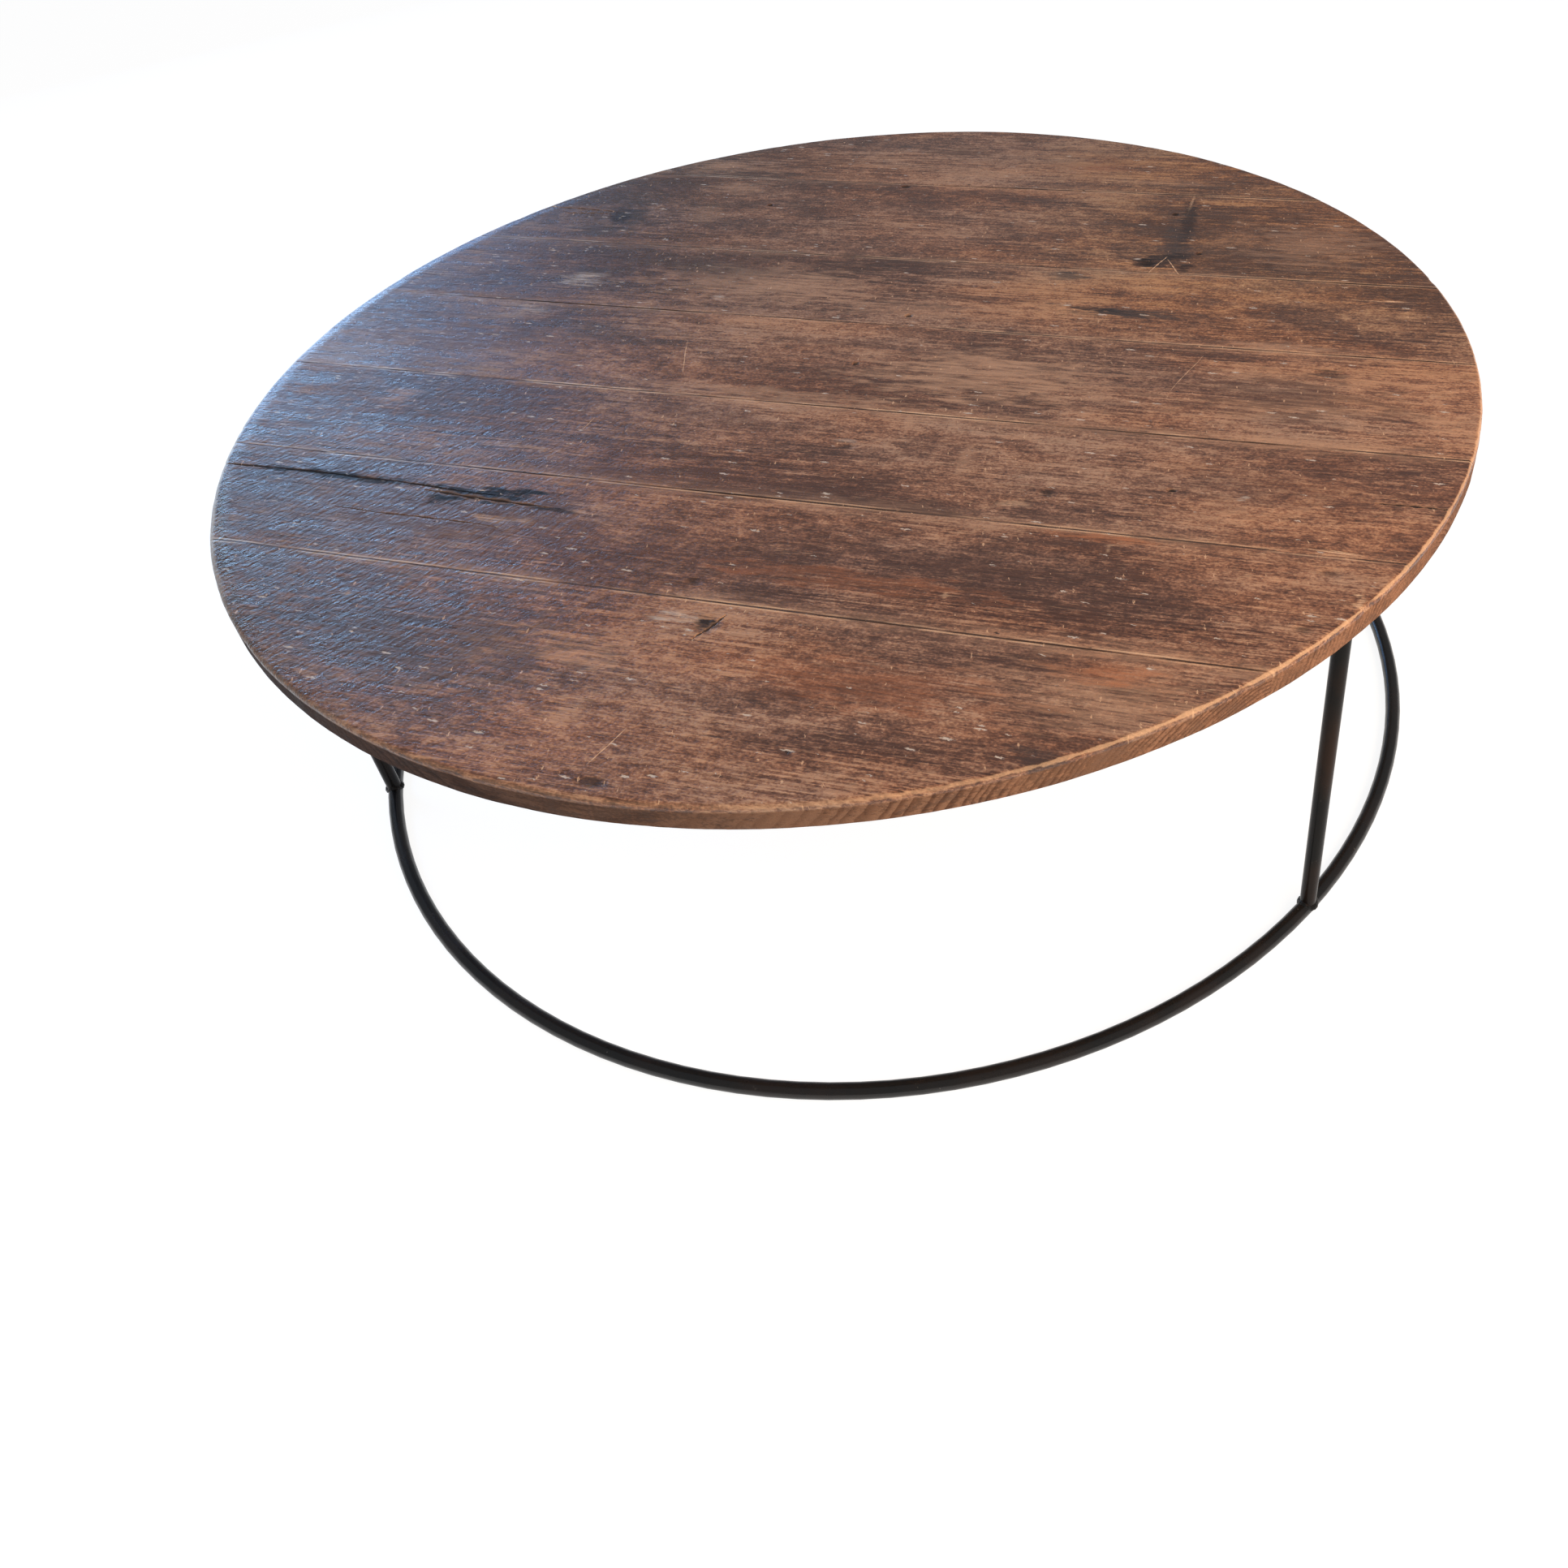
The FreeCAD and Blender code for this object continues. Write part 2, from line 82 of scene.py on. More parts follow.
# Marks on the boards: kind, x, y, half length, half width (shares of the top's radius), turn in degrees, strength.
# Half length runs along the grain before the turn. Each board: tone, pith beside its middle and below its face (m),
# ring width (m), lean of the grain, strength of the rings, pale wear along its back and front seams, marks.
BOARD_LOOKS = {
    1: dict(tone=-0.02, pith=(0.03, -0.045), ring=0.0052, lean=0.010, rings=0.35, seams=(0.0, 0.35), marks=[
        ("dark", -0.05, 0.875, 0.10, 0.035, 0, 0.7), ("bleach", -0.02, 0.877, 0.007, 0.004, 40, 0.8),
        ("orange", 0.25, 0.82, 0.08, 0.03, 0, 0.45), ("dark", 0.06, 0.955, 0.04, 0.016, 0, 0.6),
        ("dark", -0.33, 0.81, 0.16, 0.03, 0, 0.35), ("tan", -0.55, 0.76, 0.16, 0.05, 0, 0.6),
        ("dark", 0.22, 0.86, 0.28, 0.09, 0, 0.25), ("tan", 0.42, 0.76, 0.14, 0.025, 0, 0.3),
    ]),
    2: dict(tone=-0.01, pith=(-0.02, -0.06), ring=0.0060, lean=-0.006, rings=0.25, seams=(0.55, 0.35), marks=[
        ("stain", -0.655, 0.505, 0.055, 0.085, 10, 0.80), ("black", -0.665, 0.49, 0.030, 0.050, 20, 0.45),
        ("stain", -0.69, 0.43, 0.10, 0.032, 0, 0.6), ("split", -0.76, 0.522, 0.08, 0.0028, -4, 1.0),
        ("split", -0.745, 0.503, 0.05, 0.0022, 3, 0.9), ("pit", -0.12, 0.695, 0.010, 0.006, 0, 0.9),
        ("pit", -0.37, 0.58, 0.006, 0.006, 0, 0.9), ("tan", -0.47, 0.655, 0.09, 0.04, 0, 0.5),
        ("tan", -0.49, 0.53, 0.05, 0.06, 0, 0.35), ("bare", 0.462, 0.67, 0.0035, 0.05, 0, 0.7),
        ("black", 0.470, 0.585, 0.018, 0.125, 4, 0.55), ("stain", 0.462, 0.50, 0.040, 0.140, 0, 0.70),
        ("black", 0.455, 0.425, 0.062, 0.040, 5, 0.55), ("black", 0.418, 0.412, 0.026, 0.026, 10, 0.60),
        ("black", 0.495, 0.402, 0.018, 0.028, -20, 0.60), ("knot", 0.425, 0.410, 0.014, 0.012, 10, 0.70),
        ("bleach", 0.405, 0.428, 0.007, 0.005, 0, 0.9), ("scratch", 0.445, 0.41, 0.035, 0.0016, 72, 0.8),
        ("scratch", 0.475, 0.40, 0.035, 0.0016, -62, 0.8), ("pit", 0.44, 0.62, 0.007, 0.006, 0, 0.9),
        ("pit", 0.51, 0.46, 0.006, 0.006, 0, 0.9), ("tan", 0.70, 0.52, 0.18, 0.12, 0, 0.40),
        ("hairline", 0.085, 0.60, 0.032, 0.0010, 78, 0.7),
    ]),
    3: dict(tone=0.0, pith=(0.05, -0.05), ring=0.0048, lean=0.004, rings=0.40, seams=(0.35, 0.40), marks=[
        ("stain", 0.29, 0.345, 0.055, 0.020, 0, 0.7), ("bare", 0.83, 0.32, 0.045, 0.0040, 2, 0.8),
        ("bleach", -0.60, 0.222, 0.060, 0.036, 15, 0.50), ("stain", -0.60, 0.262, 0.065, 0.014, 0, 0.6),
        ("bleach", -0.31, 0.19, 0.020, 0.014, 0, 0.55), ("stain", 0.42, 0.225, 0.13, 0.022, -3, 0.85),
        ("black", 0.36, 0.232, 0.055, 0.010, -3, 0.55), ("tan", -0.25, 0.25, 0.28, 0.095, 0, 0.65),
        ("bleach", 0.32, 0.24, 0.012, 0.006, 0, 0.8), ("dark", 0.12, 0.245, 0.15, 0.012, 0, 0.6),
        ("pit", 0.057, 0.166, 0.007, 0.007, 0, 1.0), ("tan", 0.05, 0.19, 0.22, 0.045, 0, 0.4),
        ("tan", 0.70, 0.145, 0.11, 0.02, 0, 0.5), ("stain", -0.35, 0.30, 0.14, 0.055, 0, 0.35),
        ("dark", -0.82, 0.33, 0.06, 0.04, 0, 0.4),
    ]),
    4: dict(tone=0.02, pith=(0.015, -0.038), ring=0.0056, lean=-0.008, rings=0.30, seams=(0.40, 0.75), marks=[
        ("bleach", -0.66, 0.10, 0.07, 0.045, 0, 0.28), ("dark", -0.70, -0.02, 0.28, 0.10, 0, 0.60),
        ("tan", 0.24, -0.02, 0.28, 0.11, 0, 0.75), ("dark", 0.72, -0.01, 0.24, 0.10, 0, 0.60),
        ("scratch", -0.28, -0.025, 0.058, 0.0012, -70, 0.7), ("pit", 0.02, -0.005, 0.006, 0.006, 0, 0.9),
        ("knot", 0.775, 0.07, 0.030, 0.018, 0, 0.6), ("scratch", 0.557, 0.04, 0.062, 0.0010, 74, 0.6),
        ("stain", -0.45, 0.03, 0.26, 0.045, 0, 0.4), ("tan", 0.25, 0.02, 0.26, 0.06, 0, 0.4),
        ("tan", -0.10, -0.115, 0.32, 0.020, 0, 0.5), ("dark", -0.02, 0.055, 0.20, 0.016, 0, 0.4),
    ]),
    5: dict(tone=-0.02, pith=(-0.04, -0.05), ring=0.0046, lean=0.008, rings=0.35, seams=(0.60, 0.40), marks=[
        ("tan", -0.715, -0.215, 0.045, 0.040, 0, 0.5), ("dark", -0.52, -0.185, 0.030, 0.015, 0, 0.7),
        ("scratch", -0.345, -0.25, 0.022, 0.0011, 85, 0.6), ("bleach", 0.085, -0.235, 0.022, 0.010, 0, 0.3),
        ("knot", 0.09, -0.245, 0.018, 0.011, 0, 0.7), ("tan", 0.28, -0.25, 0.015, 0.055, 0, 0.55),
        ("tan", 0.335, -0.18, 0.05, 0.014, 0, 0.5), ("knot", 0.42, -0.315, 0.015, 0.011, 0, 0.65),
        ("bare", 0.38, -0.345, 0.034, 0.011, 5, 0.45), ("bleach", 0.69, -0.285, 0.012, 0.007, 30, 0.9),
        ("split", 0.915, -0.265, 0.05, 0.0030, 0, 1.0), ("pit", 0.59, -0.28, 0.008, 0.005, 0, 0.9),
        ("bare", 0.82, -0.385, 0.045, 0.0040, -2, 0.8), ("dark", -0.15, -0.20, 0.14, 0.03, 0, 0.4),
        ("dark", 0.74, -0.25, 0.20, 0.08, 0, 0.35), ("dark", -0.28, -0.37, 0.18, 0.016, 0, 0.6),
    ]),
    6: dict(tone=0.0, pith=(0.06, -0.045), ring=0.0042, lean=-0.004, rings=0.65, seams=(0.45, 0.55), marks=[
        ("stain", -0.42, -0.46, 0.14, 0.030, 3, 0.8), ("dark", -0.42, -0.53, 0.40, 0.10, 0, 0.65),
        ("split", -0.66, -0.452, 0.27, 0.0026, -1, 1.0), ("black", -0.415, -0.464, 0.110, 0.026, 11, 1.0),
        ("black", -0.66, -0.452, 0.22, 0.012, -1, 0.8), ("black", -0.28, -0.478, 0.07, 0.0060, -4, 0.7),
        ("split", -0.40, -0.470, 0.11, 0.0038, -3, 1.0), ("split", -0.485, -0.53, 0.14, 0.0018, -1, 0.8),
        ("bare", -0.36, -0.515, 0.055, 0.015, 0, 0.45), ("knot", 0.0, -0.60, 0.014, 0.009, 0, 0.65),
        ("orange", 0.52, -0.41, 0.11, 0.012, 0, 0.6), ("orange", 0.20, -0.56, 0.26, 0.030, 0, 0.35),
        ("dark", 0.35, -0.50, 0.22, 0.020, 0, 0.3), ("bare", 0.862, -0.485, 0.012, 0.016, 0, 0.8),
        ("knot", 0.82, -0.43, 0.018, 0.011, 0, 0.55), ("knot", 0.80, -0.55, 0.016, 0.010, 0, 0.55),
    ]),
    7: dict(tone=0.01, pith=(0.10, -0.06), ring=0.0032, lean=0.003, rings=0.45, seams=(0.55, 0.0), marks=[
        ("stain", -0.30, -0.78, 0.32, 0.15, 0, 0.60), ("tan", 0.60, -0.72, 0.20, 0.09, 0, 0.50),
        ("bleach", 0.015, -0.672, 0.036, 0.020, 0, 0.5), ("knot", 0.055, -0.68, 0.020, 0.022, 0, 0.9),
        ("split", 0.060, -0.685, 0.030, 0.0030, 65, 0.9), ("knot", 0.04, -0.975, 0.024, 0.012, 0, 0.6),
        ("stain", 0.53, -0.83, 0.04, 0.030, 0, 0.5), ("orange", 0.575, -0.675, 0.09, 0.030, 0, 0.5),
        ("orange", 0.30, -0.75, 0.26, 0.06, 0, 0.3), ("scratch", 0.03, -0.915, 0.035, 0.0012, 75, 0.8),
    ]),
}
# How a mark is spread: torn edge, softness and how far the fibres break it up; other kinds take SPOT_SPREAD.
SPOT_SPREADS = {
    "pit": (0.5, 0.5, 0.1), "knot": (1.3, 0.8, 0.3), "bare": (1.8, 0.8, 0.8), "bleach": (2.0, 1.0, 0.85),
    "stain": (1.4, 0.8, 0.3), "dark": (1.5, 0.9, 0.3), "black": (1.2, 0.6, 0.2),
}
SPOT_SPREAD = (1.5, 0.9, 0.6)
# Marks that take the colour of another kind, and marks that dull the wax.
MARK_TINTS = {"pit": "knot", "split": "knot", "hairline": "knot", "tan": "pale", "scratch": "bare"}
DULL_MARKS = ("bare", "bleach", "scratch", "black")
# Depth of the marks that are sunk into the face, in metres.
MARK_DEPTHS = {"knot": 0.0007, "pit": 0.0020, "bare": 0.0004}

# Nicks in the rim: angle and half width in degrees, depth in metres.
RIM_NICKS = [
    (152, 1.0, 0.0020), (201, 0.6, 0.0009), (236, 0.5, 0.0007), (262, 0.9, 0.0008), (289, 0.4, 0.0010),
    (318, 0.7, 0.0012), (331, 1.2, 0.0014), (352, 0.5, 0.0008), (24, 0.8, 0.0011), (71, 0.6, 0.0009),
    (118, 0.7, 0.0010),
]

# The wander of a split: pitch, phase and height of each wave along its length, then one wave for its width.
SPLIT_BENDS = [(3.1, 1.0, 0.7), (8.3, 2.1, 0.22), (31.0, 0.7, 0.06)]
SPLIT_SWELL = (14.8, 1.3, 0.3)
SPLIT_WANDER = 0.014
SPLIT_NARROWEST, SPLIT_SHALLOWEST, SPLIT_DEEPEST = 0.0004, 0.0008, 0.0030

# Noises of the grain: cells in a metre along each axis, detail, roughness, distortion.
GRAIN_NOISES = {
    "Lines": ((15.0, 400.0, 400.0), 4.0, 0.70),
    "Fibre": ((60.0, 1000.0, 1000.0), 2.0, 0.60),
    "Streak": ((6.0, 95.0, 95.0), 4.0, 0.65),
    "Mottle": ((80.0, 170.0, 170.0), 3.0, 0.65),
    "Blotch": ((11.0, 25.0, 25.0), 5.0, 0.65, 0.6),
    "Cloud": ((2.8, 6.0, 6.0), 2.0),
    "Grit": ((420.0, 640.0, 640.0), 2.0),
}

# Tints that the colour of the wood is multiplied by: painted shade on the left, darker and cooler,
# cool and warm boards, yellower at the back right, late wood of the rings on the face and on the rim,
# and painted shade on the left part of the rim.
LEFT_PAINTED_SHADE_TINT = (0.66, 0.78, 0.94)
COOL_HUE, WARM_HUE = (0.91, 0.96, 1.03), (1.06, 0.97, 0.88)
BACK_RIGHT_YELLOWING = (1.03, 0.99, 0.78)
LATE_WOOD, RIM_LATE_WOOD = (0.46, 0.38, 0.35), (0.42, 0.34, 0.30)
RIM_SHADE = (0.20, 0.19, 0.24)

# The sawn disc: its sides, steps of its rounded arris, cuts round its side, how much taller it is than the boards
# and how far it is lifted, spare wood before sawing (m), angle of smooth shading.
RIM_SIDES, RIM_STEPS, SIDE_CUTS = 900, 6, 6
SAW_PROUD, SAW_LIFT, SPARE = 0.00003, 0.000005, 0.003
SMOOTH_ANGLE = math.radians(38)

# Wear of the face: depth, length, width (m) and seed of its waves; the planed patch at the front left, middle and
# half sizes, with its own wave; middle and spread of the rubbed edge in degrees; how deep the wear is felt (m).
FACE_WAVES = ((0.00020, 0.15, 0.045, 0), (0.00009, 0.028, 0.010, 20))
PLANED_PATCH = (-0.30, -0.38, 0.30, 0.26)
PLANE_WAVE = (0.00016, 0.0085, 0.034, 61)
RUBBED_ANGLE, RUBBED_SPREAD = 208, 48
FACE_ZONE, RIM_ZONE, NICK_ZONE = 0.010, 0.006, 0.012
# Wear of the rim: depth (m), width (degrees), height (m) and seed of its waves.
RIM_WAVES = ((0.00022, 2.3, 0.008, 71), (0.00012, 0.5, 0.004, 72))

# A weld bead: steps round the leg, sides, how far it is sunk in (m), lean, slack and least height of its saddle (m).
BEAD_STEPS, BEAD_SIDES, BEAD_SINK, BEAD_LEAN = 136, 16, 0.0007, 0.45
SADDLE_SPARE, SADDLE_LOWEST = 0.0004, 0.0034

# Lacquers: specular level, share of brown. The legs' larger share of brown is partly thin lacquer and partly painted
# warm light.
LACQUERS = {"black_lacquer": (0.42, 0.35), "browned_lacquer": (0.08, 1.0)}

# Lights: place, target, size, colour, and whether the wax and the lacquer mirror it.
COOL = (0.25, 0.50, 1.0)
LIGHTS = {
    "window": ((-1.9, 0.2, 1.3), (-0.4, -0.3, 0.37), (0.8, 0.7), COOL, False),
    "far_window": ((-2.3, 1.75, 0.90), (-0.4, -0.1, 0.37), (1.3, 1.1), COOL, True),
    "pane": ((-2.25, 1.15, 0.51), (-0.5, -0.2, 0.37), (1.3, 0.20), (0.42, 0.70, 1.0), True),
    "front": ((1.6, -1.8, 1.8), (0.2, -0.2, 0.3), (1.2, 1.2), (1.0, 0.96, 0.74), False),
    "lamp": ((2.2, -0.6, 1.75), (0.2, -0.2, 0.3), (1.8, 1.5), (1.0, 0.63, 0.41), False),
}
FLOOR_SIZE = 40.0
# The sky off camera: its colour, and how much less of it is mirrored.
SKY_TINT, SKY_MIRRORED = (0.95, 0.99, 1.06), -0.12

# The camera: place, way back from the object, its level axis, cosine and sine of its roll, shift, sensor in mm.
CAMERA_PLACE = (0.468, -1.047, 0.986)
CAMERA_BACK = (0.2563, -0.7041, 0.6622)
CAMERA_LEVEL = (0.9397, 0.3420, 0.0)
ROLL_COSINE, ROLL_SINE = 0.9947, 0.1028
SHIFT_X, SHIFT_Y = -0.1175, -0.0688
SENSOR = 36.0


def length(name, description, metres):
    return bpy.props.FloatProperty(name=name, description=description, default=metres, unit="LENGTH")


def power(name, description, watts):
    return bpy.props.FloatProperty(name=name, description=description, default=watts, unit="POWER")


def tint(name, description, *screen):
    """A colour setting, given as it shows on a screen."""
    return bpy.props.FloatVectorProperty(name=name, description=description, default=paint(*screen), subtype="COLOR")


class TopSettings(bpy.types.PropertyGroup):
    """The boards of the top"""

    rim_round: length("Upper arris", "Radius of the worn upper arris of the rim", 0.004)
    rim_chamfer: length("Lower arris", "Chamfer of the lower arris of the rim", 0.0015)
    cell_length: length("Cell along", "Mesh cell along the grain", 0.0026)
    cell_width: length("Cell across", "Mesh cell across the grain", 0.0013)
    seam_ease: length("Seam ease", "How far the edge of a board is worn down at a seam", 0.00028)
    seam_reach: length("Seam reach", "How far the wear of a seam reaches into a board", 0.0018)
    rub_depth: length("Rubbed edge", "How far the face is worn down at the rim, front left", 0.0024)
    rub_reach: length("Rubbed reach", "How far that wear reaches in from the rim", 0.013)
    dark: tint("Dark wood", "Darkest tone of the old wax", 78, 53, 42)
    brown: tint("Brown wood", "Main tone", 105, 74, 58)
    warm: tint("Warm wood", "Rubbed tone", 129, 92, 71)
    pale: tint("Pale wood", "Palest worn tone", 162, 127, 101)
    bare: tint("Bare wood", "Fresh wood in scratches and on arrises", 204, 168, 134)
    orange: tint("Orange wood", "Rubbed through to the heart", 156, 96, 60)
    black: tint("Black", "Charred patches and old iron marks", 24, 24, 27)
    stain: tint("Stain", "Blue-black iron stain", 58, 48, 45)
    knot: tint("Knot", "Knots, pits and splits", 42, 32, 28)
    bleach: tint("Bleach", "Grey-white scuffs and flecks", 190, 178, 164)
    rim: tint("Rim", "End grain of the rim", 134, 99, 77)
    raw: tint("Underside", "Unwaxed underside", 128, 104, 84)
    beech: tint("Dowels", "Beech of the dowels", 196, 160, 122)


class FrameSettings(bpy.types.PropertyGroup):
    """The bar frame, its beads and fasteners"""

    lacquer: tint("Lacquer", "Black lacquer of the bars", 21, 22, 23)
    rusty: tint("Brown tinge", "Brown tinge where the lacquer is thin", 40, 29, 23)
    steel: tint("Scuffed steel", "Steel in scuffs", 128, 126, 122)
    zinc: tint("Zinc", "Plated screws and washers", 186, 186, 180)
    bead_radius: length("Bead", "Radius of a weld bead", 0.0026)
    bead_ripples: bpy.props.IntProperty(name="Ripples", description="Ripples of a weld bead round a leg", default=17)


class StageSettings(bpy.types.PropertyGroup):
    """Floor, lights and camera"""

    floor: bpy.props.FloatVectorProperty(
        name="Floor", description="Colour of the floor", subtype="COLOR", default=(0.86, 0.86, 0.86)
    )
    window: power("Window", "Cool light from the left", 24.0)
    far_window: power("Far window", "Cool light from behind on the left", 11.0)
    pane: power("Pane", "Narrow cool light that shines on the rubbed edge", 5.5)
    front: power("Front", "Soft light over the front", 30.0)
    lamp: power("Lamp", "Warm light from the right", 66.0)
    sky: bpy.props.FloatProperty(name="Sky", description="Light from all round", default=0.41)
    lens: bpy.props.FloatProperty(
        name="Lens", description="Focal length on a 36 mm sensor, in millimetres", default=32.03
    )


class Value:
    """An output of a node; + - * / and abs add the node that works the number out."""

    def __init__(self, shade, socket):
        self.shade = shade
        self.socket = socket

    def __add__(self, other):
        return self.shade.math("ADD", self, other)

    __radd__ = __add__

    def __sub__(self, other):
        return self.shade.math("SUBTRACT", self, other)

    def __rsub__(self, other):
        return self.shade.math("SUBTRACT", other, self)

    def __mul__(self, other):
        return self.shade.math("MULTIPLY", self, other)

    def __truediv__(self, other):
        return self.shade.math("DIVIDE", self, other)

    def __abs__(self):
        return self.shade.math("ABSOLUTE", self)

    def step(self, low, high):
        """0 at low and 1 at high, eased between them; low may be the larger."""
        inputs = {"Value": self, "From Min": low, "From Max": high}
        return self.shade.made("ShaderNodeMapRange", inputs, "Result", interpolation_type="SMOOTHSTEP")


class Shade:
    """A node tree, with short calls for the nodes that the finishes use."""

    def __init__(self, tree):
        self.tree = tree

    def node(self, kind, **settings):
        node = self.tree.nodes.new(kind)
        for name, setting in settings.items():
            setattr(node, name, setting)
        return node

    def values(self, sockets):
        return {socket.name: Value(self, socket) for socket in sockets}

    def feed(self, sockets, sources):
        """Links sockets, by name or number, to values, or sets them to numbers, vectors or colours."""
        for label, source in sources.items():
            socket = sockets[label]
            if isinstance(source, Value):
                self.tree.links.new(source.socket, socket)
            elif socket.type == "RGBA" and len(source) == 3:
                socket.default_value = (*source, 1.0)
            else:
                socket.default_value = source

    def made(self, kind, inputs, output=0, **settings):
        """One output of a new node."""
        node = self.node(kind, **settings)
        self.feed(node.inputs, inputs)
        return Value(self, node.outputs[output])

    def math(self, operation, first, second=0.0, clamp=False):
        return self.made("ShaderNodeMath", {0: first, 1: second}, operation=operation, use_clamp=clamp)

    def vector(self, operation, first, second):
        return self.made("ShaderNodeVectorMath", {0: first, 1: second}, "Vector", operation=operation)

    def scale(self, first, share):
        return self.made("ShaderNodeVectorMath", {0: first, "Scale": share}, "Vector", operation="SCALE")

    def length(self, first):
        return self.made("ShaderNodeVectorMath", {0: first}, "Value", operation="LENGTH")

    def combine(self, x=0.0, y=0.0, z=0.0):
        return self.made("ShaderNodeCombineXYZ", {0: x, 1: y, 2: z})

    def separate(self, place):
        node = self.node("ShaderNodeSeparateXYZ")
        self.feed(node.inputs, {0: place})
        return [Value(self, socket) for socket in node.outputs]

    def turned(self, place, angle):
        return self.made("ShaderNodeVectorRotate", {"Vector": place, "Angle": angle}, rotation_type="Z_AXIS")

    def noise(self, place, stretch, detail=2.0, rough=0.5, bent=0.0):
        """Noise whose cells are 1 / stretch metres along each axis."""
        inputs = {
            "Vector": self.vector("MULTIPLY", place, stretch), "Scale": 1.0, "Detail": detail,
            "Roughness": rough, "Distortion": bent,
        }
        return self.made("ShaderNodeTexNoise", inputs, "Fac")

    def swing(self, *noise):
        """Noise to both sides of zero."""
        return self.noise(*noise) - 0.5

    def mix(self, share, under, over, blend="MIX"):
        return self.made("ShaderNodeMix", {0: share, 6: under, 7: over}, 2, data_type="RGBA", blend_type=blend)

    def layers(self, colour, *layers, blend="MIX"):
        """A colour with others laid over it in turn, each by its share."""
        for share, over in layers:
            colour = self.mix(share, colour, over, blend)
        return colour

    def ramp(self, source, stops):
        node = self.node("ShaderNodeValToRGB")
        elements = node.color_ramp.elements
        while len(elements) < len(stops):
            elements.new(0.5)
        for element, (position, colour) in zip(elements, stops):
            element.position = position
            element.color = (*colour, 1.0)
        self.feed(node.inputs, {0: source})
        return Value(self, node.outputs[0])

    def effect(self, name, **sources):
        """The outputs of a node group."""
        node = self.node("ShaderNodeGroup", node_tree=bpy.data.node_groups[name])
        self.feed(node.inputs, {socket_name(label): source for label, source in sources.items()})
        return self.values(node.outputs)


def socket_name(label):
    """Half length for half_length."""
    return label.replace("_", " ").capitalize()


ORIGIN = (0.0, 0.0, 0.0)
FLAT = (1.0, 1.0, 0.0)


def new_group(name, outputs, **inputs):
    """An empty node group with a place and other named sockets, and its inner ends."""
    group = bpy.data.node_groups.new(name, "ShaderNodeTree")
    for label, start in {"place": ORIGIN, **inputs}.items():
        kind = "NodeSocketVector" if isinstance(start, tuple) else "NodeSocketFloat"
        socket = group.interface.new_socket(socket_name(label), in_out="INPUT", socket_type=kind)
        socket.default_value = start
    for label in outputs:
        group.interface.new_socket(label, in_out="OUTPUT", socket_type="NodeSocketFloat")
    shade = Shade(group)
    return shade, shade.values(shade.node("NodeGroupInput").outputs), shade.node("NodeGroupOutput").inputs


def make_grain():
    """Growth rings round a pith line under the board, and the fibres, pores and blotches of old waxed wood."""
    outputs = ["Late", "Shown", "Pore", "Dash", "Hue", *GRAIN_NOISES]
    shade, given, out = new_group("plank_grain", outputs, seed=0.0, pith=ORIGIN, ring=0.004, lean=0.0)
    seed = given["Seed"]
    place = shade.vector("ADD", given["Place"], shade.combine(seed * 1.7, seed * 0.9, seed))
    other = shade.vector("ADD", place, (3.3, 1.9, 0.7))
    lean = shade.separate(given["Place"])[0] * given["Lean"]
    aside = shade.vector("SUBTRACT", given["Place"], given["Pith"])
    aside = shade.vector("ADD", shade.vector("MULTIPLY", aside, (0.0, 1.0, 1.0)), shade.combine(0.0, lean, lean))
    slow = shade.swing(place, (2.4, 9.0, 9.0))
    quick = shade.swing(place, (16.0, 60.0, 60.0))
    reach = shade.length(aside) + slow * 0.020 + quick * 0.0022
    years = shade.swing(shade.combine(reach, seed), (85.0, 1.0, 0.0))
    turn = shade.math("FRACT", (reach + years * 0.011) / given["Ring"])
    shade.feed(out, {name: shade.noise(place, *noise) for name, noise in GRAIN_NOISES.items()})
    masks = {
        "Late": turn.step(0.30, 0.88) * turn.step(1.0, 0.93),
        "Shown": shade.noise(place, (3.5, 15.0, 15.0), 3.0, 0.60).step(0.40, 0.62),
        "Pore": shade.noise(place, (42.0, 640.0, 640.0), 2.0, 0.60).step(0.60, 0.70),
        "Dash": shade.noise(other, (60.0, 520.0, 520.0), 2.0, 0.60).step(0.61, 0.71),
        "Hue": shade.noise(other, (4.0, 13.0, 13.0), 3.0, 0.60).step(0.36, 0.64),
    }
    shade.feed(out, masks)


def make_spot():
    """An oval patch with a torn edge, broken up along the fibres."""
    shade, given, out = new_group(
        "worn_spot", ["Mask"], centre=ORIGIN, half=(0.1, 0.1, 1.0), turn=0.0, torn=0.0, fibres=0.0, ragged=0.5,
        soft=0.7, broken=0.5,
    )
    aside = shade.vector("SUBTRACT", given["Place"], given["Centre"])
    aside = shade.turned(shade.vector("MULTIPLY", aside, FLAT), given["Turn"] * -1.0)
    away = shade.length(shade.vector("DIVIDE", aside, given["Half"]))
    away = away + given["Torn"] * given["Ragged"] * 2.4
    mask = away.step(1.0, 1.0 - given["Soft"])
    kept = 1.0 - given["Broken"] + given["Fibres"] * given["Broken"]
    shade.feed(out, {"Mask": mask * kept})


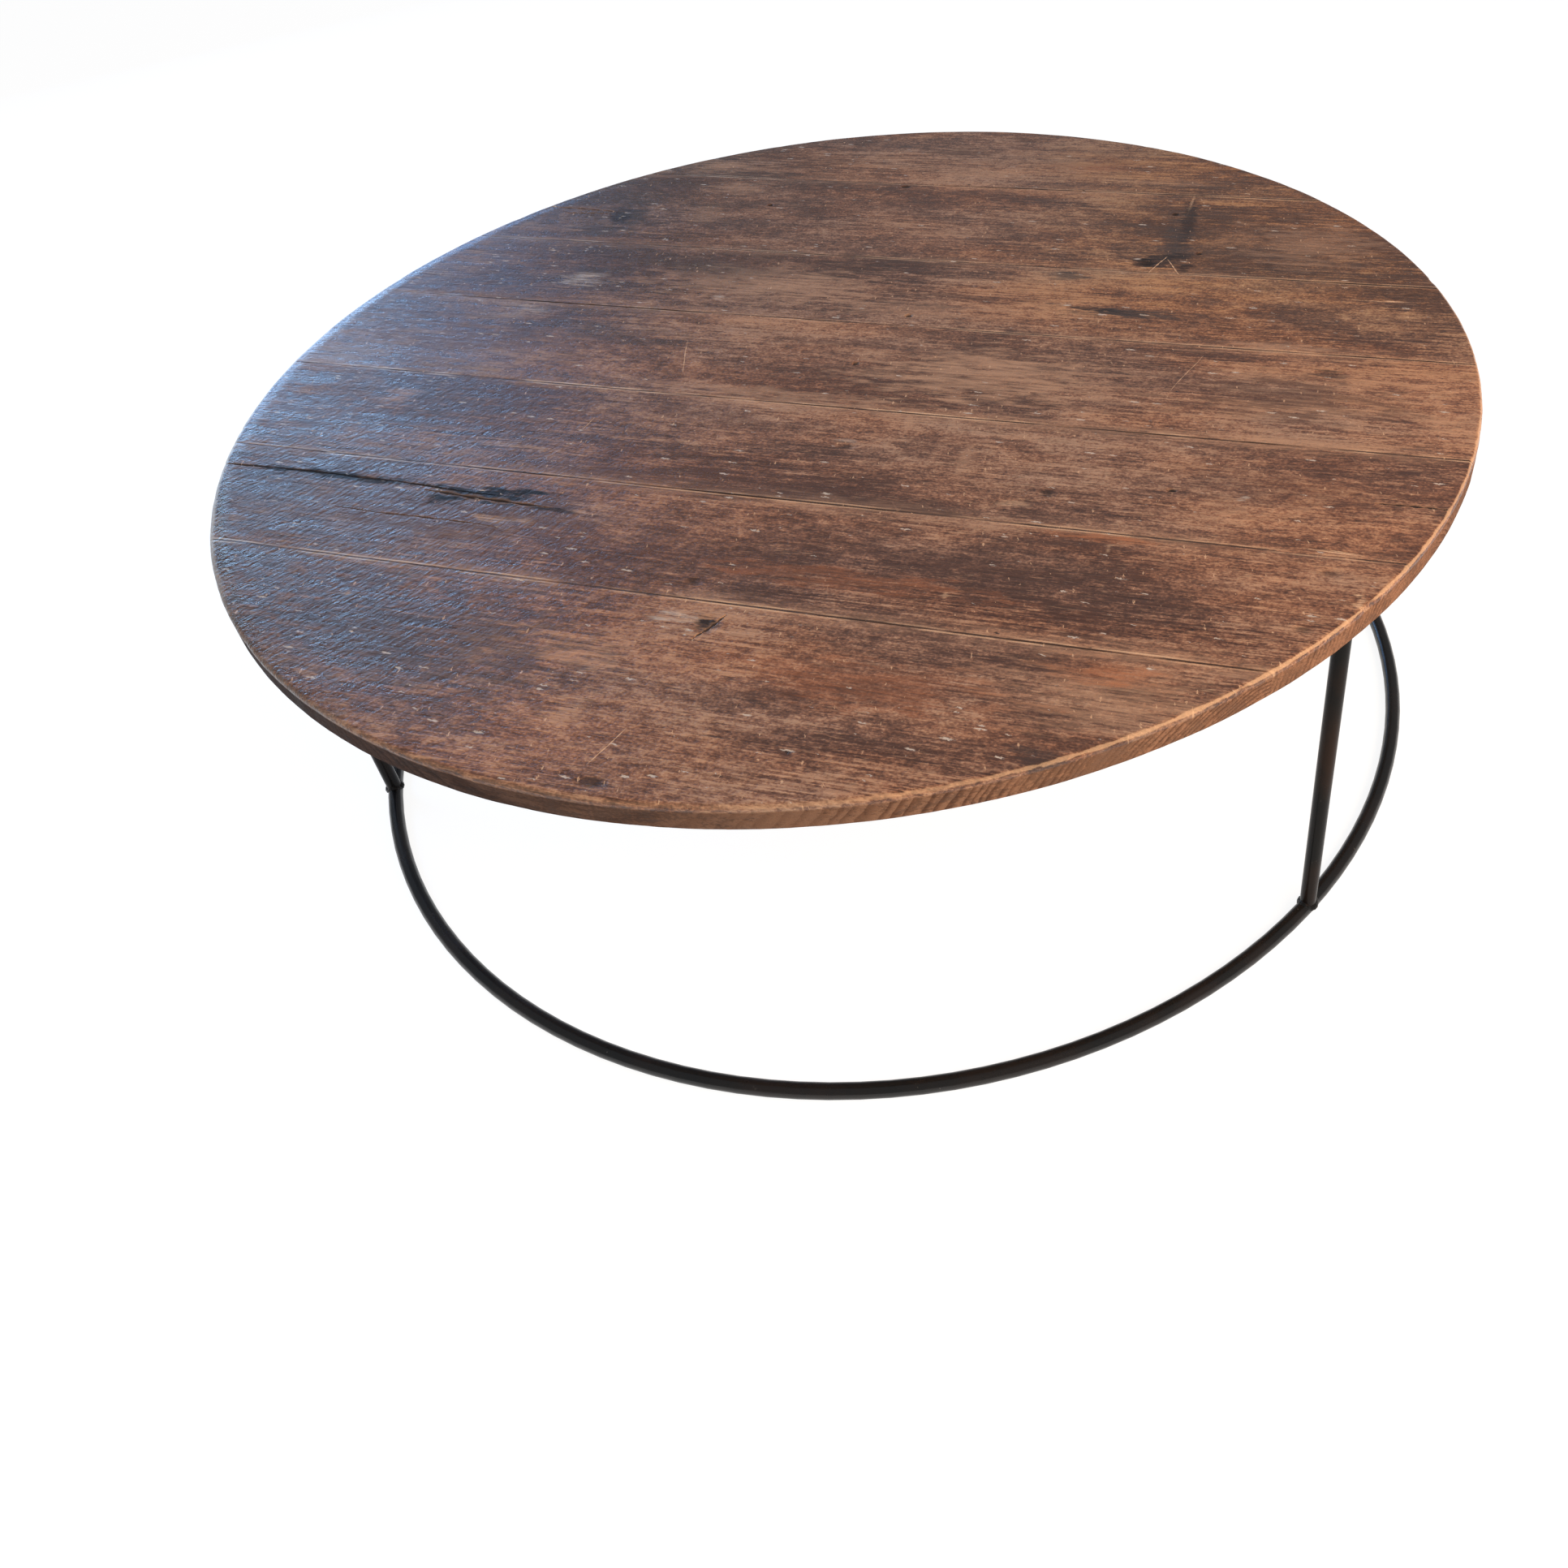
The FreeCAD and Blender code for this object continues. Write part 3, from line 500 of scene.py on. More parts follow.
def make_split():
    """A crack that wanders along the grain, and its rubbed lips."""
    shade, given, out = new_group(
        "split_line", ["Gap", "Lip"], centre=ORIGIN, half_length=0.1, half_width=0.001, turn=0.0, seed=0.0
    )
    aside = shade.vector("SUBTRACT", given["Place"], given["Centre"])
    along, across, _ = shade.separate(shade.turned(aside, given["Turn"] * -1.0))
    share = along / given["Half length"]

    def wave(pitch, phase, height):
        return shade.math("SINE", share * pitch + given["Seed"] * phase) * height

    bend = sum(wave(*settings) for settings in SPLIT_BENDS)
    swell = 1.0 - SPLIT_SWELL[2] + wave(*SPLIT_SWELL)
    taper = shade.math("SQRT", shade.math("MAXIMUM", 1.0 - share * share, 1e-4))
    width = given["Half width"] * taper * swell
    away = abs(across - bend * SPLIT_WANDER * given["Half length"]) / width
    inside = shade.math("LESS_THAN", abs(share), 1.0)
    shade.feed(out, {"Gap": away.step(1.15, 0.6) * inside, "Lip": away.step(3.4, 1.2) * inside})


def make_flecks():
    """Small flecks scattered along the grain."""
    shade, given, out = new_group(
        "fleck_scatter", ["Mask"], cells=(50.0, 100.0, 100.0), reach=0.15, amount=0.5, seed=0.0
    )
    seed = given["Seed"]
    place = shade.vector("ADD", given["Place"], shade.combine(seed, seed * 1.3, seed * 0.7))
    wobble = shade.swing(place, (330.0, 620.0, 0.0))
    bent = shade.vector("ADD", place, shade.combine(wobble * 0.008, wobble * -0.004))
    cells = shade.node("ShaderNodeTexVoronoi", voronoi_dimensions="2D")
    shade.feed(cells.inputs, {"Vector": shade.vector("MULTIPLY", bent, given["Cells"]), "Scale": 1.0})
    cell = shade.values(cells.outputs)
    chance, size, _ = shade.separate(cell["Color"])
    crowd = shade.noise(place, (5.0, 9.0, 0.0)).step(0.35, 0.65)
    amount = given["Amount"] * (0.4 + crowd * 1.2)
    reach = given["Reach"] * (0.35 + size * size * size * 1.5)
    spot = cell["Distance"].step(reach, reach * 0.45)
    shade.feed(out, {"Mask": spot * shade.math("LESS_THAN", chance, amount)})


def make_scratches():
    """Hair-thin scratches, more or less in one direction."""
    shade, given, out = new_group("hair_scratches", ["Mask"], turn=0.0, seed=0.0, width=0.012)
    seed = given["Seed"]
    place = shade.turned(shade.vector("ADD", given["Place"], shade.combine(seed, seed)), given["Turn"])
    lines = abs(shade.swing(place, (9.0, 150.0, 0.0), 0.0))
    where = shade.noise(place, (28.0, 90.0, 0.0), 1.0).step(0.60, 0.68)
    shade.feed(out, {"Mask": lines.step(given["Width"], 0.0) * where})


def make_rim():
    """The sawn side of the top, its upper arris, the band along its edge and the brink of the face, where a
    highlight is painted.
    """
    shade, given, out = new_group("rim_wear", ["Side", "Arris", "Edge", "Brink"], radius=0.5, face=0.4)
    place = given["Place"]
    inset = given["Radius"] - shade.length(shade.vector("MULTIPLY", place, FLAT))
    below = given["Face"] - shade.separate(place)[2]
    torn = shade.swing(place, (70.0, 70.0, 160.0), 4.0, 0.65) * 0.006
    masks = {
        "Side": inset.step(0.0036, 0.0014) * below.step(0.0042, 0.0066),
        "Arris": (abs(inset - below) + torn).step(0.0024, 0.0010) * (inset + below).step(0.0044, 0.0034),
        "Edge": inset.step(0.018, 0.006),
        "Brink": (inset + torn).step(0.0060, 0.0024),
    }
    shade.feed(out, masks)


def make_lacquer():
    """Cloudy, thin and scuffed places of brushed black lacquer."""
    shade, given, out = new_group("lacquer_wear", ["Cloud", "Scuff", "Peel"])
    place = given["Place"]
    chips = shade.noise(place, (210.0, 210.0, 120.0), 3.0, 0.6).step(0.68, 0.74)
    masks = {
        "Cloud": shade.noise(place, (14.0, 14.0, 9.0), 4.0, 0.6).step(0.35, 0.7),
        "Scuff": chips * shade.noise(place, (11.0, 11.0, 8.0)).step(0.52, 0.66),
        "Peel": shade.noise(place, (420.0, 420.0, 420.0)),
    }
    shade.feed(out, masks)


def make_groups():
    for maker in (make_grain, make_spot, make_split, make_flecks, make_scratches, make_rim, make_lacquer):
        maker()


def new_material(name):
    """A material with only its shader, the calls to build on it, and the place on the object."""
    material = bpy.data.materials.new(name)
    material.use_nodes = True
    material.node_tree.nodes.clear()
    shade = Shade(material.node_tree)
    shader = shade.node("ShaderNodeBsdfPrincipled")
    shade.tree.links.new(shader.outputs[0], shade.node("ShaderNodeOutputMaterial").inputs[0])
    return material, shade, shader, shade.made("ShaderNodeTexCoord", {}, "Object")


def dress(shade, shader, colour, rough, height):
    """Feeds a shader its colour, its roughness and its fine relief in millimetres."""
    relief = shade.made("ShaderNodeBump", {"Height": height, "Strength": 1.0, "Distance": 0.001})
    shade.feed(shader.inputs, {"Base Color": colour, "Roughness": rough, "Normal": relief})


def mark_mask(shade, place, torn, fibres, mark, seed):
    """The mask of one mark and of its lips, or None for them."""
    kind, x, y, half_length, half_width, turn, strength = mark
    along, across = half_length * TOP_RADIUS, half_width * TOP_RADIUS
    where = dict(place=place, centre=(x * TOP_RADIUS, y * TOP_RADIUS, TOP_FACE), turn=math.radians(turn))
    if kind in ("split", "scratch", "hairline"):
        split = shade.effect("split_line", half_length=along, half_width=across, seed=seed, **where)
        return split["Gap"] * strength, split["Lip"] * (0.30 * strength) if kind == "split" else None
    ragged, soft, broken = SPOT_SPREADS.get(kind, SPOT_SPREAD)
    spot = shade.effect(
        "worn_spot", half=(along, across, 1.0), torn=torn, fibres=fibres, ragged=ragged, soft=soft,
        broken=broken, **where,
    )
    return shade.math("MULTIPLY", spot["Mask"], 1.3 * strength, clamp=True), None


def board_material(number, wood):
    """Old waxed wood with this board's own rings, stains, splits and scratches."""
    look = BOARD_LOOKS[number]
    low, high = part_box(f"board_{number}")
    material, shade, shader, place = new_material(f"old_board_{number}")
    x, y, z = shade.separate(place)
    aside, deep = look["pith"]
    pith = (0.0, (low.y + high.y) / 2 + aside, high.z + deep)
    grain = shade.effect(
        "plank_grain", place=place, seed=3.1 * number, pith=pith, ring=look["ring"], lean=look["lean"]
    )
    late, lined, blotch = grain["Late"], grain["Shown"], grain["Blotch"]

    # Tones of the wax, from the large clouds down to the fibres; the lines show in some places more than in others.
    shares = {
        "Cloud": 1.65, "Blotch": 1.50, "Streak": 0.50 + lined * 0.90, "Mottle": 1.20, "Lines": 0.78 + lined * 1.75,
        "Grit": 1.25,
    }
    tone = 0.5 + look["tone"]
    for name, share in shares.items():
        tone = tone + (grain[name] - 0.5) * share
    # Painted shade: the left side of the top is darkened and tinted cool. The same mask also sets the relief, the
    # gloss of the edge and more flecks there.
    left_side_painted_shade = x.step(-0.02, -0.48)
    tone = tone - left_side_painted_shade * 0.15
    colour = shade.ramp(tone, [(0.14, wood.dark), (0.42, wood.brown), (0.60, wood.warm), (0.92, wood.pale)])
    colour = shade.layers(
        colour, (left_side_painted_shade, LEFT_PAINTED_SHADE_TINT), (1.0, shade.mix(grain["Hue"], COOL_HUE, WARM_HUE)),
        # Yellower towards the back right.
        (x.step(0.0, 0.30) * y.step(0.0, 0.22), BACK_RIGHT_YELLOWING),
        (late * (0.10 + lined * 0.90) * look["rings"], LATE_WOOD), blend="MULTIPLY",
    )
    colour = shade.scale(colour, 0.84 + grain["Fibre"].step(0.3, 0.7) * 0.32)
    colour = shade.layers(colour, (grain["Pore"] * 0.48, wood.knot), (grain["Dash"] * 0.40, wood.pale))

    # Worn bands along the seams, their fresh lips, and the broken dark line of the joint itself.
    worn = 0.0
    # On the left, under the painted shade, the lips turn from bare wood to grey-white.
    fresh = shade.mix(left_side_painted_shade, wood.bare, wood.bleach)
    torn = shade.swing(place, (28.0, 130.0, 130.0), 5.0, 0.70)
    fibres = shade.noise(place, (24.0, 420.0, 420.0), 3.0, 0.65).step(0.36, 0.60)
    for line, strength in zip((high.y, low.y), look["seams"]):
        if strength:
            away = abs(y - line)
            where = shade.noise(place, (4.2, 3.0, 0.0)).step(0.34, 0.60)
            band = (away + torn * 0.040).step(0.017, 0.000) * where * (0.25 + fibres * 0.75) * strength
            where = shade.noise(place, (9.0, 60.0, 0.0), 4.0, 0.70).step(0.42, 0.58)
            lip = abs(away - 0.0017).step(0.0013, 0.0004) * where * strength
            lip = shade.math("MULTIPLY", lip, 1.25, clamp=True)
            where = shade.noise(place, (11.0, 2.0, 0.0)).step(0.34, 0.50)
            joint = (away + torn * 0.0012).step(0.0012, 0.0004) * where
            colour = shade.layers(colour, (band, wood.pale), (lip, fresh), (joint * 0.85, wood.knot))
            worn = worn + band

    # Marks of a long life, each in its own place.
    for index, mark in enumerate(look["marks"]):
        mask, lip = mark_mask(shade, place, torn, fibres, mark, float(index + 2 * number))
        if lip is not None:
            colour = shade.mix(lip, colour, wood.pale)
        colour = shade.mix(mask, colour, getattr(wood, MARK_TINTS.get(mark[0], mark[0])))
        if mark[0] in DULL_MARKS:
            worn = worn + mask

    # Flecks of bare wood and lime, worm holes and scratches all over, more flecks on the left side.
    def scatter(where, cells, reach, amount, shift):
        seed = number + shift
        return shade.effect("fleck_scatter", place=where, cells=cells, reach=reach, amount=amount, seed=seed)["Mask"]

    def scratches(turn, seed, width):
        return shade.effect("hair_scratches", place=place, turn=turn, seed=seed, width=width)["Mask"]

    flecks = scatter(place, (52.0, 230.0, 1.0), 0.17, 0.09 + left_side_painted_shade * 0.14, 0.0)
    specks = scatter(shade.turned(place, 1.15), (130.0, 420.0, 1.0), 0.20, 0.05, 9.0)
    holes = scatter(place, (30.0, 38.0, 1.0), 0.035, 0.12, 4.0)
    colour = shade.layers(
        colour, (flecks * 0.80, wood.bleach), (specks * 0.65, wood.bare), (holes * 0.85, wood.knot),
        (scratches(0.9, 0.37 * number, 0.007) * 0.25, wood.pale),
        (scratches(-0.12, 0.61 * number, 0.010) * 0.35, wood.bare),
    )
    worn = worn + flecks * 0.6

    # A painted highlight along the brink at the left, the sawn rim with painted shade on its left part, rubbed bare
    # along its arris, and the unwaxed underside.
    rim = shade.effect("rim_wear", place=place, radius=TOP_RADIUS, face=TOP_FACE)
    # Painted highlight: a pale grey-white line along the left brink of the face.
    colour = shade.mix(rim["Brink"] * x.step(-0.30, -0.46) * 0.75, colour, wood.bleach)
    side = shade.mix(tone.step(0.30, 0.70), shade.scale(wood.rim, 0.66), wood.rim)
    side = shade.layers(
        side, (late * (0.30 + lined * 0.55), RIM_LATE_WOOD), (x.step(0.40, -0.22), RIM_SHADE), blend="MULTIPLY"
    )
    rubbed = rim["Arris"] * (0.10 + x.step(0.05, 0.46) * 0.50)
    colour = shade.layers(colour, (rim["Side"] * 0.95, side), (rubbed, wood.bare))
    under = z.step(UNDERSIDE + 0.0009, UNDERSIDE + 0.0003)
    sawn = shade.noise(place, (260.0, 22.0, 1.0))
    raw = shade.scale(wood.raw, 0.55 + sawn * 0.35 + blotch * 0.45)
    colour = shade.mix(under, colour, shade.mix(late * 0.45, raw, wood.brown))

    rough = 0.11 + blotch * 0.46 + worn * 0.22 + grain["Pore"] * 0.15 + under * 0.35 + rim["Side"] * 0.65
    rough = rough + (grain["Streak"] - 0.5) * 0.60 + (grain["Mottle"] - 0.5) * 0.55
    rough = rough - rim["Edge"] * left_side_painted_shade * 0.20
    rough = shade.math("MINIMUM", shade.math("MAXIMUM", rough, 0.17), 1.0)

    # Fibres stand proud, pores lie low, and a scrub plane has left ripples across the front boards.
    ripples = shade.noise(shade.turned(place, -1.05), (105.0, 240.0, 0.0), 3.0, 0.62)
    planed = shade.effect(
        "worn_spot", place=place, centre=(-0.34, -0.36, TOP_FACE), half=(0.36, 0.36, 1.0), turn=0.6, torn=0.0,
        fibres=1.0, ragged=0.0, soft=1.0, broken=0.0,
    )
    height = grain["Fibre"] * 0.20 + grain["Lines"] * 0.60 + grain["Pore"] * -0.10
    height = height + grain["Grit"] * 0.30 + grain["Mottle"] * 0.62
    height = height + ripples * (0.25 + planed["Mask"] * 2.40) + flecks * -0.16 + holes * -0.30
    height = height * (1.0 + left_side_painted_shade * 0.30 + rim["Edge"] * left_side_painted_shade * -0.8)
    dress(shade, shader, colour, rough, height)
    return material


def dowel_material(wood):
    """Turned beech with short brown flecks."""
    material, shade, shader, place = new_material("dowel_beech")
    streak = shade.noise(place, (500.0, 25.0, 500.0), 3.0)
    fleck = shade.noise(place, (900.0, 180.0, 900.0), 1.0).step(0.60, 0.70)
    colour = shade.mix(fleck * 0.5, shade.scale(wood.beech, 0.75 + streak * 0.5), wood.orange)
    dress(shade, shader, colour, 0.50 + streak * 0.2, streak * 0.08)
    return material


def lacquer_material(bars, name):
    """Black lacquer, brown where thin and, on the legs, with painted warm light; dull and scuffed to the steel near
    the floor.
    """
    shine, brown = LACQUERS[name]
    material, shade, shader, place = new_material(name)
    wear = shade.effect("lacquer_wear", place=place)
    low = shade.separate(place)[2].step(0.006, 0.0005)
    shader.inputs["Specular IOR Level"].default_value = shine
    scuff = wear["Scuff"] * (0.35 + low * 0.6)
    colour = shade.layers(bars.lacquer, (wear["Cloud"] * brown, bars.rusty), (scuff, bars.steel))
    rough = 0.18 + wear["Cloud"] * 0.14 + low * 0.25 + scuff * 0.2
    dress(shade, shader, colour, rough, wear["Peel"] * 0.035 + wear["Scuff"] * -0.05)
    return material


def bead_material(bars):
    """Weld beads under the same lacquer, with browned crests."""
    material, shade, shader, place = new_material("lacquered_bead")
    wear = shade.effect("lacquer_wear", place=place)
    shader.inputs["Specular IOR Level"].default_value = 0.25
    burnt = shade.noise(place, (300.0, 300.0, 300.0), 3.0).step(0.45, 0.7)
    colour = shade.layers(bars.lacquer, (burnt * 0.7, bars.rusty), (wear["Scuff"] * 0.5, bars.steel))
    dress(shade, shader, colour, 0.34 + burnt * 0.2, wear["Peel"] * 0.08 + burnt * 0.06)
    return material


def zinc_material(bars):
    """Zinc plate, cloudy and finely brushed."""
    material, shade, shader, place = new_material("zinc_plate")
    brushed = shade.noise(place, (1500.0, 120.0, 120.0))
    cloud = shade.noise(place, (220.0, 220.0, 220.0), 3.0)
    shader.inputs["Metallic"].default_value = 1.0
    colour = shade.scale(bars.zinc, 0.62 + brushed * 0.25 + cloud * 0.3)
    dress(shade, shader, colour, 0.24 + cloud * 0.25, brushed * 0.03)
    return material


def finish_node(name, material):
    """Gives a carried-over CAD node its finish."""
    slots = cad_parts[name].data.materials
    slots.clear()
    slots.append(material)


def settle(piece, material, slot, *nodes):
    """Sets a finished piece on the frame in the place of CAD nodes."""
    piece.data.materials.clear()
    piece.data.materials.append(material)
    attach(piece, "root")
    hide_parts(*nodes)


def add_primitive(add, name, **settings):
    """Adds a primitive alone in the selection and opens it in edit mode."""
    bpy.ops.object.select_all(action="DESELECT")
    add(location=(0.0, 0.0, 0.0), **settings)
    bpy.ops.object.mode_set(mode="EDIT")
    piece = bpy.context.active_object
    piece.name = name
    piece.data.name = name
    return piece


def pick(piece, faces=None, edges=None):
    """Selects the faces or edges whose middle, and the vector along an edge, pass the test."""
    mesh = bmesh.from_edit_mesh(piece.data)
    bpy.context.tool_settings.mesh_select_mode = (False, edges is not None, faces is not None)
    for item in (*mesh.verts, *mesh.edges, *mesh.faces):
        item.select = False
    if faces:
        for face in mesh.faces:
            face.select_set(bool(faces(face.calc_center_median())))
    else:
        for edge in mesh.edges:
            first, last = edge.verts[0].co, edge.verts[1].co
            edge.select_set(bool(edges((first + last) / 2, last - first)))
    mesh.select_flush_mode()
    bmesh.update_edit_mesh(piece.data)


def apply_boolean(piece, tool, operation):
    cut = piece.modifiers.new("cut", "BOOLEAN")
    cut.operation = operation
    cut.object = tool
    cut.solver = "EXACT"
    bpy.context.view_layer.objects.active = piece
    bpy.ops.object.modifier_apply(modifier=cut.name)


def points_of(piece):
    places = np.empty(len(piece.data.vertices) * 3, np.float32)
    piece.data.vertices.foreach_get("co", places)
    return places.reshape(-1, 3).astype(np.float64)


def move_points(piece, places):
    piece.data.vertices.foreach_set("co", places.astype(np.float32).ravel())
    piece.data.update()


def ripple(x, y, seed):
    """Smooth noise from -1 to 1 with a value at every whole number."""
    column = np.floor(x).astype(np.int64)
    row = np.floor(y).astype(np.int64)

    def corner(across, up):
        mixed = (across * 374761393 + up * 668265263 + seed * 974711) & 0xFFFFFFFF
        mixed = ((mixed ^ (mixed >> 13)) * 1274126177) & 0xFFFFFFFF
        return ((mixed ^ (mixed >> 16)) & 0xFFFF) / 32767.5 - 1.0

    right = x - column
    right = right * right * (3 - 2 * right)
    upper = y - row
    upper = upper * upper * (3 - 2 * upper)
    near = corner(column, row) * (1 - right) + corner(column + 1, row) * right
    far = corner(column, row + 1) * (1 - right) + corner(column + 1, row + 1) * right
    return near * (1 - upper) + far * upper


def round_saw(top):
    """The sawn outline of the top: a disc with a rounded upper and a chamfered lower arris."""
    thickness = TOP_FACE - UNDERSIDE
    disc = add_primitive(
        bpy.ops.mesh.primitive_cylinder_add, "round_saw", vertices=RIM_SIDES, radius=TOP_RADIUS,
        depth=thickness + SAW_PROUD, end_fill_type="NGON",
    )
    bpy.ops.transform.translate(value=(0.0, 0.0, (TOP_FACE + UNDERSIDE) / 2 + SAW_LIFT))
    pick(disc, edges=lambda middle, along: middle.z > TOP_FACE and abs(along.z) < 1e-6)
    bpy.ops.mesh.bevel(offset=top.rim_round, offset_type="OFFSET", segments=RIM_STEPS, profile=0.5, affect="EDGES")
    pick(disc, edges=lambda middle, along: middle.z < UNDERSIDE + 1e-5 and abs(along.z) < 1e-6)
    bpy.ops.mesh.bevel(offset=top.rim_chamfer, offset_type="OFFSET", segments=1, affect="EDGES")
    pick(disc, edges=lambda middle, along: abs(along.z) > thickness / 2)
    bpy.ops.mesh.subdivide(number_cuts=SIDE_CUTS)
    bpy.ops.object.mode_set(mode="OBJECT")
    return disc


def board_blank(number, top):
    """A board before it is sawn round, with a fine mesh on its face."""
    low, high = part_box(f"board_{number}")
    back = high.y + (SPARE if number == 1 else 0.0)
    front = low.y - (SPARE if number == BOARDS else 0.0)
    half = max(abs(low.x), high.x) + SPARE
    blank = add_primitive(
        bpy.ops.mesh.primitive_grid_add, f"worn_board_{number}", size=1.0,
        x_subdivisions=round(2 * half / top.cell_length), y_subdivisions=round((back - front) / top.cell_width),
    )
    bpy.ops.transform.resize(value=(2 * half, back - front, 1.0))
    bpy.ops.transform.translate(value=(0.0, (back + front) / 2, TOP_FACE))
    bpy.ops.mesh.region_to_loop()
    bpy.ops.mesh.extrude_edges_move(TRANSFORM_OT_translate={"value": (0.0, 0.0, UNDERSIDE - TOP_FACE)})
    bpy.ops.mesh.edge_face_add()
    bpy.ops.mesh.select_all(action="SELECT")
    bpy.ops.mesh.normals_make_consistent(inside=False)
    bpy.ops.object.mode_set(mode="OBJECT")
    return blank


def mark_frame(mark, x, y):
    """Places along and across a mark, and its half length and half width."""
    _, centre_x, centre_y, half_length, half_width, turn, _ = mark
    angle = math.radians(turn)
    right = x - centre_x * TOP_RADIUS
    ahead = y - centre_y * TOP_RADIUS
    along = right * math.cos(angle) + ahead * math.sin(angle)
    across = ahead * math.cos(angle) - right * math.sin(angle)
    return along, across, half_length * TOP_RADIUS, half_width * TOP_RADIUS


def refine_marks(board, number):
    """Divides the mesh more finely where splits, knots and pits are cut."""
    marks = [mark for mark in BOARD_LOOKS[number]["marks"] if mark[0] in ("split", "knot", "pit")]

    def near_mark(middle):
        if middle.z < TOP_FACE - 1e-5:
            return False
        for mark in marks:
            along, across, half_length, half_width = mark_frame(mark, middle.x, middle.y)
            if abs(along) < half_length + 0.002 and abs(across) < half_width * 1.3 + 0.003:
                return True
        return False

    bpy.context.view_layer.objects.active = board
    bpy.ops.object.mode_set(mode="EDIT")
    pick(board, faces=near_mark)
    bpy.ops.mesh.subdivide(number_cuts=2)
    bpy.ops.object.mode_set(mode="OBJECT")


def split_depth(mark, seed, x, y):
    """How deep a split is at x and y; it wanders as its colour does."""
    along, across, half_length, half_width = mark_frame(mark, x, y)
    share = along / half_length
    bend = sum(height * np.sin(pitch * share + phase * seed) for pitch, phase, height in SPLIT_BENDS)
    pitch, phase, height = SPLIT_SWELL
    swell = 1 - height + height * np.sin(pitch * share + phase * seed)
    width = half_width * np.sqrt(np.clip(1 - share * share, 1e-4, 1)) * swell
    away = np.abs(across - bend * SPLIT_WANDER * half_length) / np.maximum(width, SPLIT_NARROWEST)
    depth = min(SPLIT_DEEPEST, SPLIT_SHALLOWEST + half_width * 0.35)
    return np.where(np.abs(share) < 1, depth * np.clip(1.1 - away, 0, 1) ** 0.8, 0)


def face_depth(number, x, y, top):
    """How far the worn face of a board lies below the plane of the top."""
    low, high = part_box(f"board_{number}")
    depth = sum(deep * (1 + ripple(x / long, y / wide, number + seed)) for deep, long, wide, seed in FACE_WAVES)
    middle_x, middle_y, half_x, half_y = PLANED_PATCH
    planed = np.clip(1.2 - np.hypot((x - middle_x) / half_x, (y - middle_y) / half_y), 0, 1)
    slanted = x * 0.97 - y * 0.24
    deep, long, wide, seed = PLANE_WAVE
    depth += planed * deep * (1 + ripple(slanted / long, y / wide, seed))
    for line, own in ((high.y, number > 1), (low.y, number < BOARDS)):
        if own:
            away = np.abs(y - line)
            chewed = 0.75 + 0.5 * ripple(x / 0.05, y * 0, number + 40)
            chewed = chewed + 0.35 * ripple(x / 0.011, y * 0, number + 50)
            reach = top.seam_reach * np.clip(chewed, 0.4, 1.6)
            depth += top.seam_ease * np.clip(chewed, 0.3, 1.5) * np.clip(1 - away / reach, 0, 1) ** 2
    angle = np.degrees(np.arctan2(y, x)) % 360
    rubbed = np.clip(1.15 - np.abs(angle - RUBBED_ANGLE) / RUBBED_SPREAD, 0, 1)
    rubbed = rubbed * (0.85 + 0.25 * ripple(angle / 1.7, y * 0, 81))
    depth += top.rub_depth * rubbed * np.clip(1 - (TOP_RADIUS - np.hypot(x, y)) / top.rub_reach, 0, 1) ** 2
    for index, mark in enumerate(BOARD_LOOKS[number]["marks"]):
        if mark[0] == "split":
            depth += split_depth(mark, float(index + 2 * number), x, y)
        elif mark[0] in MARK_DEPTHS:
            along, across, half_length, half_width = mark_frame(mark, x, y)
            away = np.hypot(along / half_length, across / half_width)
            depth += MARK_DEPTHS[mark[0]] * np.clip(1 - away * away, 0, 1)
            if mark[0] == "knot":
                depth += 0.0006 * np.clip(1 - away, 0, 1) * np.abs(ripple(along / 0.004, across / 0.0025, index))
    return depth


def wear_board(board, number, top):
    """Sinks the face, the seams, the marks and the nicks of the rim into a sawn board."""
    places = points_of(board)
    x, y, z = places.T
    follows = np.clip((z - (TOP_FACE - FACE_ZONE)) / FACE_ZONE, 0, 1) ** 2
    places[:, 2] = z - follows * face_depth(number, x, y, top)
    out_from = np.hypot(x, y)
    angle = np.degrees(np.arctan2(y, x)) % 360
    at_rim = np.clip((out_from - (TOP_RADIUS - RIM_ZONE)) / RIM_ZONE, 0, 1)
    inset = sum(deep * (1 + ripple(angle / wide, z / tall, seed)) for deep, wide, tall, seed in RIM_WAVES)
    for middle, half, depth in RIM_NICKS:
        turned = (angle - middle + 180) % 360 - 180
        near_face = np.clip((z - TOP_FACE + NICK_ZONE) / NICK_ZONE, 0, 1)
        inset += depth * np.clip(1 - (turned / half) ** 2, 0, 1) * near_face
    shrink = 1 - at_rim * inset / np.maximum(out_from, 0.01)
    places[:, 0] = x * shrink
    places[:, 1] = y * shrink
    move_points(board, places)


class COFFEETABLE_OT_lay_boards(bpy.types.Operator):
    """Saws seven old boards round and wears their faces, seams and rim"""

    bl_idname = "coffee_table.lay_boards"
    bl_label = "Lay the boards"

    def execute(self, context):
        top = context.scene.coffee_table_top
        saw = round_saw(top)
        for number in range(1, BOARDS + 1):
            board = board_blank(number, top)
            apply_boolean(board, saw, "INTERSECT")
            refine_marks(board, number)
            wear_board(board, number, top)
            bpy.ops.object.shade_smooth_by_angle(angle=SMOOTH_ANGLE)
            settle(board, board_material(number, top), "old_boards", f"board_{number}")
        bpy.data.objects.remove(saw)
        return {"FINISHED"}


class COFFEETABLE_OT_fit_dowels(bpy.types.Operator):
    """Gives the dowels in the seams their beech"""

    bl_idname = "coffee_table.fit_dowels"
    bl_label = "Fit the dowels"

    def execute(self, context):
        material = dowel_material(context.scene.coffee_table_top)
        for number in range(1, BOARDS):
            finish_node(f"seam_{number}_dowels", material)
        return {"FINISHED"}


